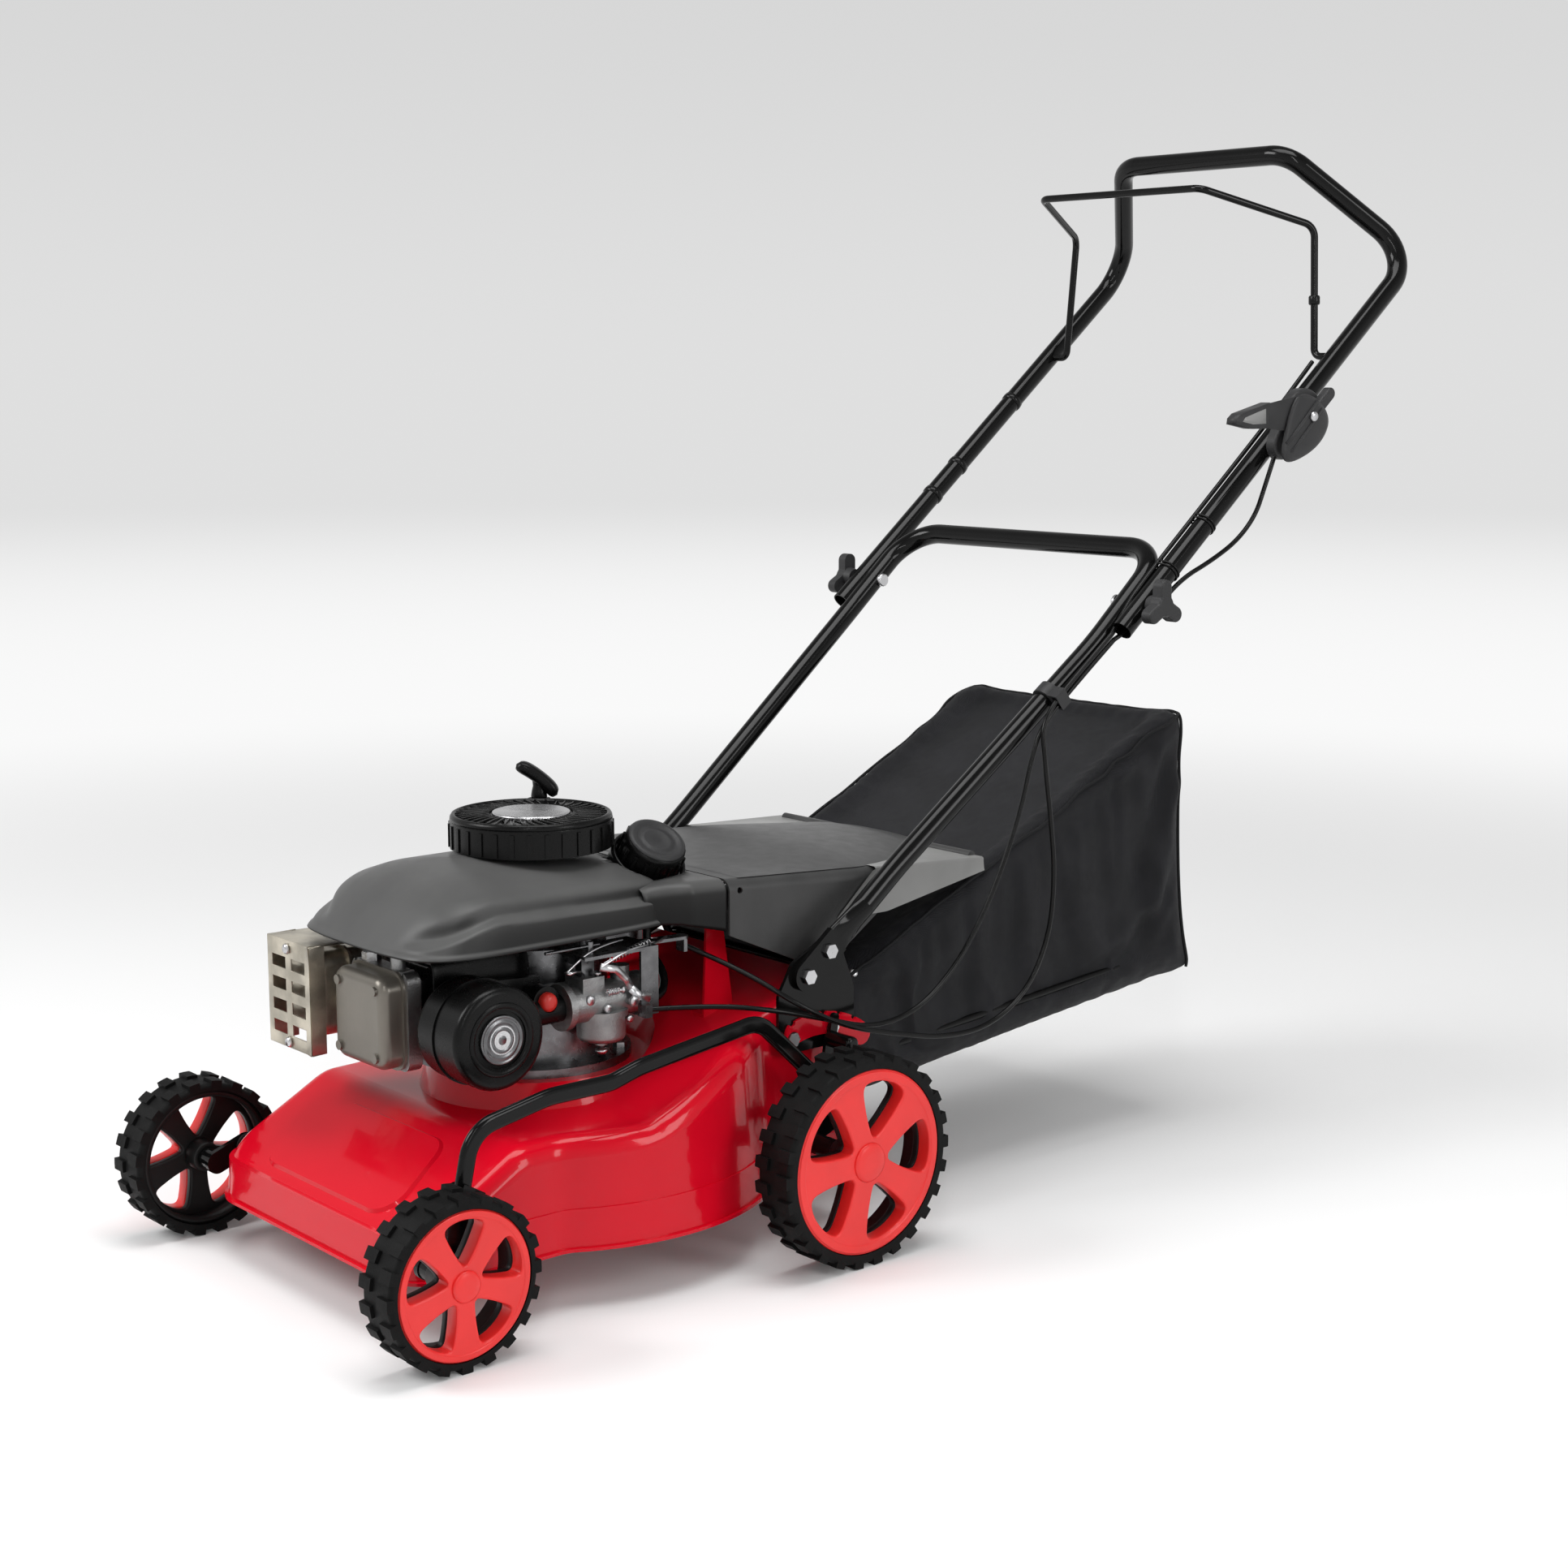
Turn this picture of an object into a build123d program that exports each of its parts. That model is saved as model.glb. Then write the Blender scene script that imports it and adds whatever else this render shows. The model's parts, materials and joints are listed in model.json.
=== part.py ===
from build123d import *
import os
from math import atan2, cos, degrees, hypot, radians, sin, sqrt, tan

# Petrol push mower with a grass bag, in millimetres.
# +Z is up, the front faces -Y and +X is the mower's left side.
# Sizes are measured from the ground and from the middle of the wheelbase. The finished pieces are
# moved back so that the origin lies on the ground under the middle of the overall length.

# Fits and gaps
RUN_FIT = 0.05
EASE = 0.3

# Stance
WHEELBASE = 422.8
ORIGIN_BEHIND_MIDDLE = 401.0
FRONT_Y = -WHEELBASE / 2
REAR_Y = WHEELBASE / 2

# Wheels
FRONT_WHEEL_R = 76.2
REAR_WHEEL_R = 101.6
FRONT_FACE_X = 246.6
REAR_FACE_X = 279.8
FRONT_COVER_R = 65.9
REAR_COVER_R = 88.4
TYRE_W = 44.7
TYRE_SHOULDER = 5.0
LUG_H = 3.2
LUG_LEN = 17.0
LUG_WIDE = 11.0
FRONT_LUGS = 20
REAR_LUGS = 26
SPOKES = 5
CORE_WALL = 4.0
CORE_INSET = 3.0
CORE_SPOKE_W = 15.0
CORE_SPOKE_T = 12.0
HUB_R = 15.0
COVER_T = 5.0
COVER_RING = 9.0
COVER_HUB_R = 20.0
COVER_SPOKE_W = 19.0
COVER_WINDOW_FILLET = 5.0
DOME_R = 16.0
DOME_H = 4.0

# Axles with crank arms, link bar and height lever
AXLE_R = 6.0
CRANK_BACK = 31.4
CRANK_UP = 11.8
LINK_PIN_UP = 45.0
ARM_X = 183.0
ARM_T = 5.5
ARM_R = 11.0
PIN_R = 4.0
PIN_HEAD_R = 6.0
PIN_HEAD_T = 2.0
LINK_T = 9.0
LINK_DEEP = 16.0
LINK_EYE_R = 10.0
COLLAR_R = 10.0
BUSH_R = 9.0
BUSH_FLANGE_R = 12.0
BUSH_FLANGE_T = 3.0
BUSH_LEN = 12.0
LEVER_R = 78.0
LEVER_TONGUE_R = 99.0
LEVER_TONGUE_W = 9.0
LEVER_T = 4.0
LEVER_W = 16.0
LEVER_X = 173.5
LEVER_GRIP_R = 8.0
LEVER_GRIP_LEN = 34.0
QUADRANT_T = 3.0
QUADRANT_R = 104.0
QUADRANT_DEEP = 22.0
QUADRANT_NOTCH = 7.0
QUADRANT_FROM = 52.0
QUADRANT_TO = 108.0
QUADRANT_NOTCHES = 6
LEVER_ANGLE = 80.0

# Deck
DECK_WALL = 2.0
DECK_TAPER = 3.0
LIP_Z = 53.0
LIP_OUT = 5.0
LIP_T = 3.0
BAND_OUT = 1.6
BAND_H = 38.0
NOSE_FRONT_Y = -222.0
NOSE_BACK_Y = -60.0
NOSE_HALF = 180.0
NOSE_CORNER_R = 52.0
PAN_R = 212.0
PAN_Y = 50.0
TUNNEL_HALF = 164.0
TUNNEL_FRONT_Y = 60.0
TUNNEL_BACK_Y = 285.0
OUTLINE_BLEND_R = 40.0
NOSE_Z = 88.0
SHELF_FRONT_Y = -104.0
SHELF_Z = 154.0
RISE_Y = 20.0
RISE_TOP_Y = 132.0
RISE_TOP_Z = 204.0
CHUTE_Z = 248.0
PROFILE_R = 45.0
DECK_EDGE_R = 20.0
SEAT_Z = 180.0
SEAT_R = 104.0
SEAT_DRAFT = 16.0
SEAT_DEEP = 60.0
SEAT_LEDGE = 5.0
SEAT_HOLE_R = 34.0
CHUTE_SILL_Z = 104.0
PANEL_TOP_HALF = 88.0
PANEL_LOW_HALF = 118.0
PANEL_LEN = 96.0
PANEL_CORNER = 26.0
PANEL_H = 3.0

# Blade and crankshaft
CRANK_Y = 32.0
SHAFT_R = 12.5
SHAFT_LOW_Z = 97.0
SHAFT_HIGH_Z = 372.0
BLADE_LEN = 390.0
BLADE_W = 50.0
BLADE_T = 3.0
BLADE_Z = 88.0
BLADE_LIFT = 12.0
ADAPTER_R = 26.0
ADAPTER_T = 8.0
BLADE_BOLT_R = 5.0
BLADE_BOLT_HEAD_R = 9.0
FLYWHEEL_R = 62.0
FLYWHEEL_Z = 330.0
FLYWHEEL_T = 26.0
FAN_H = 15.0
FAN_BLADES = 14

# Engine block
BASE_R = 92.0
BASE_T = 8.0
CASE_R = 70.0
CASE_TOP_Z = 296.0
CYL_Z = 247.0
CYL_HALF_X = 31.0
CYL_HALF_Z = 33.0
FIN_HALF_X = 48.0
FIN_HALF_Z = 46.0
FIN_T = 3.0
FIN_PITCH = 9.0
FIN_COUNT = 8
FIN_FIRST_Y = -46.0
HEAD_Y = -124.0
HEAD_T = 14.0
ROCKER_HALF_X = 43.0
ROCKER_HALF_Z = 43.0
ROCKER_DEEP = 24.0
ROCKER_FLANGE = 3.0
ROCKER_FLANGE_OUT = 3.0
ROCKER_WALL = 2.0
PLUG_X = -24.0
PLUG_R = 6.0
INTAKE_X = 74.0
INTAKE_Y = 6.0
INTAKE_R = 15.0
ENGINE_BOLT_R = 4.0
ENGINE_BOLT_CIRCLE = 82.0
POST_X = 84.0
POST_R = 7.0
POST_Z = 332.0
FRONT_POST_X = 22.0

# Muffler
MUFFLER_X = (-128.0, -64.0)
MUFFLER_Y = (-168.0, -96.0)
MUFFLER_Z = (214.0, 294.0)
MUFFLER_FILLET = 14.0
EXHAUST_R = 13.0
EXHAUST_Y = -131.0
GUARD_GAP = 8.0
GUARD_T = 2.5
GUARD_OUT = 6.0
GUARD_SLOTS = 5
GUARD_SLOT_H = 8.0

# Shroud, tank and recoil starter
SHROUD_WALL = 3.0
SHROUD_LOW_Z = 316.0
SHROUD_TOP_Z = 383.0
SHROUD_LOW_HALF = 119.0
SHROUD_TOP_HALF = 94.0
SHROUD_LOW_FRONT = -197.0
SHROUD_TOP_FRONT = -146.0
SHROUD_BACK = 150.0
SHROUD_TOP_BACK = 140.0
SHROUD_LOW_CORNER = 62.0
SHROUD_TOP_CORNER = 48.0
SHROUD_EDGE_R = 15.0
SHROUD_RIM = 4.0
SHROUD_AIR_R = 64.0
SHROUD_RIB_R = 3.0
SHROUD_RIB_OUT = 2.0
SHROUD_RIB_TILT = 3.0
SHROUD_RIBS = ((348.0, -150.0, 70.0), (333.0, -120.0, 80.0))
DRUM_R = 77.0
DRUM_TOP_Z = 413.0
DRUM_WALL = 3.0
DRUM_RIBS = 30
DRUM_RIB_OUT = 1.4
DRUM_RIB_W = 4.0
DRUM_SLOTS = 18
DRUM_SLOT_W = 3.6
DRUM_SLOT_IN = 41.0
DRUM_SLOT_OUT = 66.0
DRUM_SLOT_TWIST = 24.0
BADGE_R = 37.0
BADGE_T = 3.0
PULLEY_R = 40.0
PULLEY_T = 12.0
PULLEY_POST_R = 8.0
PULLEY_POST_Z = 386.0
ROPE_R = 1.8
ROPE_AT_R = 86.0
ROPE_ANGLE = 140.0
ROPE_BOSS_R = 11.0
ROPE_LOW_Z = 392.0
GRIP_STEM_R = 8.0
GRIP_STEM_H = 20.0
GRIP_LEN = 54.0
GRIP_R = 8.5
GRIP_TILT = 38.0
GRIP_YAW = 50.0
CAP_TILT = 35.0
CAP_X = 80.0
CAP_Y = 120.0
CAP_Z = 388.0
CAP_R = 30.0
CAP_H = 32.0
CAP_WALL = 4.0
CAP_RIBS = 16
NECK_R = 20.0
NECK_WALL = 2.5
NECK_TOP = 8.0
NECK_LEN = 46.0
CAP_POCKET_R = 36.0
CAP_POCKET_Z = 342.0
TANK_X = (-70.0, 70.0)
TANK_Y = (100.0, 137.0)
TANK_Z = (302.0, 348.0)
TANK_FILLET = 8.0

# Air filter, primer and carburettor
FILTER_Y = -100.0
FILTER_Z = 245.0
FILTER_R = 47.0
FILTER_FACE_X = 140.0
FILTER_SPLIT_X = 99.0
FILTER_BACK_X = 72.0
FILTER_EDGE_R = 7.0
FILTER_WALL = 2.5
FILTER_ARM_Z = (222.0, 284.0)
FILTER_ARM_T = 8.0
FILTER_ARM_BACK_Y = -17.0
FILTER_POST_R = 7.0
FILTER_POSTS = ((-82.0, 228.0), (-58.0, 272.0))
DUCT_R = 13.0
DUCT_FRONT_Y = -51.0
FILTER_BADGE_R = 22.0
FILTER_BADGE_T = 1.5
PRIMER_Y = -26.0
PRIMER_Z = 260.0
PRIMER_R = 9.0
PRIMER_BOSS_R = 14.0
PRIMER_BOSS_X = 103.0
PRIMER_FRONT_X = 112.0
PRIMER_SKIRT = 18.0
PRIMER_STROKE = 5.0
PRIMER_DEEP = 31.0
CARB_X = 96.5
CARB_Y = (-8.0, 84.0)
CARB_Z = 250.0
CARB_THROAT_R = 18.0
CARB_BOWL_Y = 40.0
CARB_BOWL_R = 23.0
CARB_BOWL_H = 30.0
CARB_FLANGE_T = 7.0
CARB_FLANGE_W = 34.0
LINKAGE_Z = 296.0
LINKAGE_ROD_R = 1.6
CABLE_STOP_Z = 240.0
BRAKE_STOP_Y = 132.0
HOSE_R = 4.0
HOSE_XY = (60.0, 122.0)

# Lower handle and its brackets
TUBE_R = 11.0
TUBE_WALL = 1.4
LOWER_X = 191.5
LOWER_FOOT_RUN = 100.0
LOWER_FOOT_Y = 228.0
LOWER_FOOT_Z = 256.0
LOWER_BEND_Y = 602.0
LOWER_BEND_Z = 550.0
LOWER_TOP_Y = 706.0
LOWER_TOP_Z = 641.0
LOWER_CORNER_R = 48.0
LOWER_BEND_R = 500.0
FOOT_FLAT_T = 6.0
FOOT_FLAT_W = 30.0
FOOT_FLAT_LEN = 50.0
FOOT_BLEND = 44.0
FOOT_BOLTS = (0.0, 34.0)
BRACKET_X = 164.0
BRACKET_T = 4.0
BRACKET_BOSS_R = 9.0
BRACKET_BOLTS = ((212.0, 196.0), (262.0, 199.0))
BRACKET_BOLT_R = 4.0
BRACKET_HEAD_R = 7.5
BRACKET_HEAD_T = 4.5
BRACKET_NUT_T = 5.0

# Upper handle, bolts and wing knobs
TUBE_SIDE_GAP = 0.6
HANDLE_ANGLE = 39.4
BOW_Y = 1088.5
BOW_Z = 951.0
BOW_TOP_X = 120.6
BOW_TOP_Y = 977.8
BOW_TOP_Z = 1063.0
BOW_R = 46.0
BOW_TOP_R = 40.0
BOLT_Y = 648.0
UPPER_TAIL = 40.0
HANDLE_BOLT_R = 4.0
KNOB_R = 11.5
KNOB_LOBE_R = 8.0
KNOB_LOBE_AT = 19.0
KNOB_LOBES = 3
KNOB_T = 13.0
KNOB_NECK = 9.0
KNOB_EDGE_R = 3.0

# Bail, throttle control and cables
BAIL_R = 4.0
BAIL_Y = 955.0
BAIL_FOOT_X = 185.0
BAIL_KNEE_X = 176.0
BAIL_KNEE_Y = 959.4
BAIL_KNEE_Z = 981.8
BAIL_TOP_X = 116.5
BAIL_TOP_Y = 836.7
BAIL_TOP_Z = 1019.9
BAIL_FOOT_R = 9.0
BAIL_KNEE_R = 16.0
BAIL_TOP_R = 14.0
THROTTLE_Y = 876.0
THROTTLE_R = 31.0
THROTTLE_TIP_R = 16.0
THROTTLE_TIP_AT = 44.0
THROTTLE_T = 13.0
THROTTLE_CLAMP_W = 26.0
THROTTLE_CLAMP_T = 4.0
THROTTLE_PIN_R = 5.0
THROTTLE_LEVER_LEN = 66.0
THROTTLE_LEVER_W = 13.0
THROTTLE_LEVER_T = 9.0
CABLE_R = 2.5
CLIP_Y = 539.0
CLIP_W = 14.0
CLIP_T = 3.0
CABLE_SIDE = 18.3
CABLE_APART = 3.6
CLIP_EASE = 1.4

# Flap over the chute
FLAP_HINGE_Y = 172.0
FLAP_HINGE_Z = 342.0
FLAP_ROD_R = 3.0
FLAP_KNUCKLE_R = 6.0
FLAP_T = 2.5
FLAP_FRONT_Y = 104.0
FLAP_BACK_Y = 474.0
FLAP_FRONT_HALF = 136.0
FLAP_BACK_HALF = 158.0
FLAP_FRONT_Z = 356.0
FLAP_BACK_Z = 338.0
FLAP_SKIRT = ((474.0, 329.0), (339.0, 298.0), (300.0, 270.0), (250.0, 260.0), (137.0, 310.0), (104.0, 316.0))
FLAP_EDGE_R = 12.0
FLAP_LIP_R = 5.0
FLAP_SPLIT_Y = 160.0
COWL_END_Y = 155.0
COWL_SINK = 1.0
CAP_CLEAR = 8.0
HINGE_STAND_X = 96.0
HINGE_STAND_T = 3.0
HINGE_FOOT_Y = (160.0, 196.0)
HINGE_FOOT_W = 16.0
HINGE_EYE_R = 6.0
KNUCKLE_X = (58.0, 80.0)
SPRING_WIRE_R = 1.2
SPRING_TURNS = 6
SPRING_PITCH = 3.4

# Grass bag
BAG_WALL = 3.0
BAG_FRONT_Y = 297.0
BAG_BACK_Y = 798.0
BAG_TOP_BACK_Y = 782.0
BAG_FRONT_HALF = 150.0
BAG_BACK_HALF = 166.0
BAG_FRONT_LOW_Z = 110.0
BAG_FRONT_TOP_Z = 243.0
BAG_BACK_LOW_Z = 170.0
BAG_BACK_TOP_Z = 466.0
BAG_CORNER_R = 28.0
BAG_FRAME_R = 4.0
HOOP_BACK = 8.0
HOOP_TOP_Z = 236.4
HOOK_X = 120.0
HOOK_END_Y = 258.0

PARTS = {}


def rod_x(radius, x0, x1, y, z):
    """Round bar along X."""
    return Pos((x0 + x1) / 2, y, z) * Rot(0, 90, 0) * Cylinder(radius, abs(x1 - x0))


def rod_y(radius, x, y0, y1, z):
    """Round bar along Y."""
    return Pos(x, (y0 + y1) / 2, z) * Rot(90, 0, 0) * Cylinder(radius, abs(y1 - y0))


def rod_z(radius, x, y, z0, z1):
    """Round bar along Z."""
    return Pos(x, y, (z0 + z1) / 2) * Cylinder(radius, abs(z1 - z0))


def block(x, y, z):
    """Box between pairs of limits."""
    return Pos(sum(x) / 2, sum(y) / 2, sum(z) / 2) * Box(x[1] - x[0], y[1] - y[0], z[1] - z[0])


def side_sketch(sketch, x):
    """Put a flat sketch whose axes are Y and Z into the plane at x."""
    return Plane(origin=(x, 0, 0), x_dir=(0, 1, 0), z_dir=(1, 0, 0)) * sketch


def side_plate(sketch, x0, x1):
    """Plate across X from a sketch whose axes are Y and Z."""
    return extrude(side_sketch(sketch, x0), amount=x1 - x0)


def polygon(*points):
    """Closed flat face through points."""
    return make_face(Polyline(*points, close=True))


def strap(p, q, width):
    """Flat bar with round ends between two points of a plane."""
    run = hypot(q[0] - p[0], q[1] - p[1])
    turn = degrees(atan2(q[1] - p[1], q[0] - p[0]))
    middle = ((p[0] + q[0]) / 2, (p[1] + q[1]) / 2)
    return Pos(*middle) * Rot(0, 0, turn) * SlotCenterToCenter(run, width)


def bent_rod(points, radii, section):
    """Sweep a flat section along straight runs joined by arcs."""
    path = FilletPolyline(*points, radius=radii)
    start = Plane(origin=path @ 0, x_dir=(1, 0, 0), z_dir=path % 0)
    return sweep(start * section, path=path)


def other_side(shape):
    """Mirror image on the right-hand side of the mower."""
    return mirror(shape, about=Plane.YZ)


def both(shape):
    """A piece and its mirror image."""
    return [shape, other_side(shape)]


def keep(name, shape):
    """Remember a finished piece under its node name."""
    PARTS[name] = shape


# Wheels, built with the axle along X, the outer face at x = 0 and the inside towards -X

def wheel_sketch(sketch, x):
    """Put a flat wheel sketch at a place along the axle."""
    return Plane(origin=(x, 0, 0), x_dir=(0, 1, 0), z_dir=(1, 0, 0)) * sketch


def tyre(radius, bead_r, lugs):
    """Moulded tyre: carcass with two staggered rows of lugs."""
    carcass_r = radius - LUG_H
    outline = polygon((-TYRE_W, bead_r), (-TYRE_W, carcass_r), (0, carcass_r), (0, bead_r))
    shoulders = [v for v in outline.vertices() if v.Y > bead_r]
    body = revolve(fillet(shoulders, TYRE_SHOULDER), axis=Axis.X)
    ring = Circle(radius) - Circle(carcass_r - TYRE_SHOULDER)
    pitch = 360 / lugs
    for row_x, start in ((-LUG_LEN, 0), (-TYRE_W, pitch / 2)):
        bars = [
            Rot(0, 0, start + pitch * i) * Pos(carcass_r, 0) * Rectangle(4 * LUG_H + TYRE_SHOULDER, LUG_WIDE)
            for i in range(lugs)
        ]
        body += extrude(wheel_sketch(ring & Sketch(children=bars), row_x), amount=LUG_LEN)
    return body


def spoke_bars(length, width):
    """Straight spokes from the middle outward."""
    return Sketch(children=[
        Rot(0, 0, 90 + 360 / SPOKES * i) * Pos(length / 2, 0) * Rectangle(length, width)
        for i in range(SPOKES)
    ])


def wheel_core(bead_r):
    """Black wheel body: barrel, spokes and bored hub."""
    inner_x = -TYRE_W + CORE_INSET
    barrel_r = bead_r - CORE_WALL
    length = -COVER_T - inner_x
    barrel = extrude(wheel_sketch(Circle(bead_r) - Circle(barrel_r), inner_x), amount=length)
    hub = extrude(wheel_sketch(Circle(HUB_R), inner_x), amount=length)
    bars = spoke_bars(barrel_r + CORE_WALL / 2, CORE_SPOKE_W) & Circle(barrel_r + CORE_WALL / 2)
    spokes = extrude(wheel_sketch(bars, -COVER_T - CORE_SPOKE_T), amount=CORE_SPOKE_T)
    return barrel + hub + spokes - rod_x(AXLE_R + RUN_FIT, -TYRE_W, -COVER_T, 0, 0)


def wheel_cover(cover_r):
    """Red cover: rim ring, spokes between rounded windows and hub dome."""
    bars = spoke_bars(cover_r, COVER_SPOKE_W)
    windows = Circle(cover_r - COVER_RING) - Circle(COVER_HUB_R) - bars
    windows = fillet(windows.vertices(), COVER_WINDOW_FILLET)
    disc = extrude(wheel_sketch(Circle(cover_r) - windows, -COVER_T), amount=COVER_T)
    dome = extrude(wheel_sketch(Circle(DOME_R), 0), amount=DOME_H)
    top = dome.edges().sort_by(Axis.X)[-1]
    return disc + fillet(top, DOME_H * 0.8)


def make_wheels():
    """All four wheels in their places."""
    sizes = (
        ("front", FRONT_WHEEL_R, FRONT_COVER_R, FRONT_LUGS, FRONT_FACE_X, FRONT_Y),
        ("rear", REAR_WHEEL_R, REAR_COVER_R, REAR_LUGS, REAR_FACE_X, REAR_Y),
    )
    for end, radius, cover_r, lugs, face_x, y in sizes:
        place = Pos(face_x, y, radius)
        pieces = {
            "tyre": tyre(radius, cover_r, lugs),
            "wheel_core": wheel_core(cover_r),
            "wheel_cover": wheel_cover(cover_r),
        }
        for kind, shape in pieces.items():
            left = place * shape
            keep(f"{kind}_{end}_left", left)
            keep(f"{kind}_{end}_right", other_side(left))


make_wheels()

# Deck

def deck_outline():
    """Plan of the deck at its lip: nose, round pan and chute tunnel."""
    nose = Pos(0, (NOSE_FRONT_Y + NOSE_BACK_Y) / 2) * RectangleRounded(
        2 * NOSE_HALF, NOSE_BACK_Y - NOSE_FRONT_Y + 2 * NOSE_CORNER_R, NOSE_CORNER_R)
    nose = Pos(0, NOSE_CORNER_R) * nose
    tunnel = Pos(0, (TUNNEL_FRONT_Y + TUNNEL_BACK_Y) / 2) * Rectangle(
        2 * TUNNEL_HALF, TUNNEL_BACK_Y - TUNNEL_FRONT_Y)
    plan = Pos(0, PAN_Y) * Circle(PAN_R) + nose + tunnel
    waist = [v for v in plan.vertices() if NOSE_FRONT_Y + NOSE_CORNER_R + 1 < v.Y < TUNNEL_BACK_Y - 1]
    return fillet(waist, OUTLINE_BLEND_R)


def deck_top(drop):
    """Side view of the space under the deck's top skin, lowered by the sheet thickness."""
    front = NOSE_FRONT_Y - 40
    slope = (SHELF_Z - NOSE_Z) / (SHELF_FRONT_Y - NOSE_FRONT_Y)
    back = TUNNEL_BACK_Y + 40
    rise = (CHUTE_Z - RISE_TOP_Z) / (TUNNEL_BACK_Y - RISE_TOP_Y)
    corners = [
        (front, NOSE_Z + slope * (front - NOSE_FRONT_Y) - drop),
        (SHELF_FRONT_Y, SHELF_Z - drop),
        (RISE_Y, SHELF_Z + 3 - drop),
        (RISE_TOP_Y, RISE_TOP_Z - drop),
        (back, CHUTE_Z + rise * (back - TUNNEL_BACK_Y) - drop),
    ]
    face = polygon(*corners, (back, -100), (front, -100))
    bends = [v for v in face.vertices() if front + 1 < v.X < back - 1]
    return fillet(bends, PROFILE_R)


def deck_body(inset):
    """Solid inside the deck's skin at a depth of inset."""
    plan = offset(deck_outline(), -inset) if inset else deck_outline()
    height = CHUTE_Z + 30 - LIP_Z
    walls = extrude(Pos(0, 0, LIP_Z) * plan, amount=height, taper=DECK_TAPER)
    body = walls & side_plate(deck_top(inset), -300, 300)
    crown = [e for e in body.edges() if on_rim(e, plan, inset)]
    body = fillet(crown, DECK_EDGE_R - inset)
    if inset:
        body += extrude(Pos(0, 0, LIP_Z - 20) * plan, amount=20)
    boss = Cone(SEAT_R + SEAT_DRAFT - inset, SEAT_R - inset, SEAT_DEEP)
    body += Pos(0, CRANK_Y, SEAT_Z - inset - SEAT_DEEP / 2) * boss
    dish = Cone(SEAT_R + SEAT_LEDGE + inset, SEAT_R + SEAT_LEDGE + SEAT_DRAFT + inset, SEAT_DEEP)
    return body - Pos(0, CRANK_Y, SEAT_Z - inset + SEAT_DEEP / 2) * dish


def on_rim(edge, plan, inset):
    """Whether an edge runs along the top of the walls, the back edge left out."""
    box = edge.bounding_box()
    if box.min.Z < LIP_Z + 5 or box.min.Y > TUNNEL_BACK_Y - 30 or box.size.X + box.size.Y < 1:
        return False
    spot = edge @ 0.5
    drift = (spot.Z - LIP_Z) * tan(radians(DECK_TAPER))
    rim = plan.faces()[0].outer_wire()
    return abs(rim.distance_to(Vertex(spot.X, spot.Y, 0)) - drift) < 1.5


def shield_panel():
    """Raised field on the nose slope, following the slope of the top skin."""
    run = SHELF_FRONT_Y - NOSE_FRONT_Y
    tilt = degrees(atan2(SHELF_Z - NOSE_Z, run))
    middle = (NOSE_FRONT_Y + SHELF_FRONT_Y) / 2 - 2
    height = NOSE_Z + (SHELF_Z - NOSE_Z) * (middle - NOSE_FRONT_Y) / run
    face = polygon(
        (-PANEL_LOW_HALF, -PANEL_LEN / 2), (PANEL_LOW_HALF, -PANEL_LEN / 2),
        (PANEL_TOP_HALF, PANEL_LEN / 2), (-PANEL_TOP_HALF, PANEL_LEN / 2))
    face = fillet(face.vertices(), PANEL_CORNER)
    return Pos(0, middle, height) * Rot(tilt, 0, 0) * extrude(face, amount=PANEL_H, taper=40)


def make_deck():
    """Pressed deck with lip, side band, raised nose field, engine seat and chute opening."""
    outer = deck_body(0)
    inner = deck_body(DECK_WALL)
    plan = deck_outline()
    lip = extrude(Pos(0, 0, LIP_Z) * offset(plan, LIP_OUT), amount=LIP_T)
    band = extrude(Pos(0, 0, LIP_Z) * offset(plan, BAND_OUT), amount=BAND_H, taper=DECK_TAPER)
    shell = outer + band + lip + shield_panel() - inner
    shell -= block(
        (-TUNNEL_HALF + 14, TUNNEL_HALF - 14), (TUNNEL_BACK_Y - 40, TUNNEL_BACK_Y + 40),
        (CHUTE_SILL_Z, CHUTE_Z - 12))
    return outer, shell


deck_outer, deck_shell = make_deck()

# Axles, link bar, height lever and quadrant

FRONT_PIVOT = (FRONT_Y + CRANK_BACK, FRONT_WHEEL_R + CRANK_UP)
REAR_PIVOT = (REAR_Y + CRANK_BACK, REAR_WHEEL_R + CRANK_UP)
ARM_FACE_X = ARM_X + ARM_T
LINK_X = ARM_FACE_X + EASE


def link_pin(pivot):
    """Place of the link pin above an axle pivot."""
    return (pivot[0], pivot[1] + LINK_PIN_UP)


def axle(pivot, face_x):
    """Axle bar with crank arms, wheel spindles and the pin for the link."""
    spindle = (pivot[0] - CRANK_BACK, pivot[1] - CRANK_UP)
    arm = side_plate(strap(pivot, spindle, 2 * ARM_R), ARM_X, ARM_FACE_X)
    stub = rod_x(AXLE_R, ARM_X, face_x - COVER_T - EASE, *spindle)
    collar = rod_x(COLLAR_R, ARM_X, face_x - TYRE_W + CORE_INSET - EASE, *spindle)
    crank = arm + stub + collar
    bar = rod_x(AXLE_R, -ARM_FACE_X, ARM_FACE_X, *pivot)
    pin_at = link_pin(pivot)
    pin_arm = side_plate(strap(pivot, pin_at, 2 * ARM_R), ARM_X, ARM_FACE_X)
    head_x = LINK_X + LINK_T + EASE
    pin = rod_x(PIN_R, ARM_X, head_x, *pin_at) + rod_x(PIN_HEAD_R, head_x, head_x + PIN_HEAD_T, *pin_at)
    return bar + crank + other_side(crank) + pin_arm + pin


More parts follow.
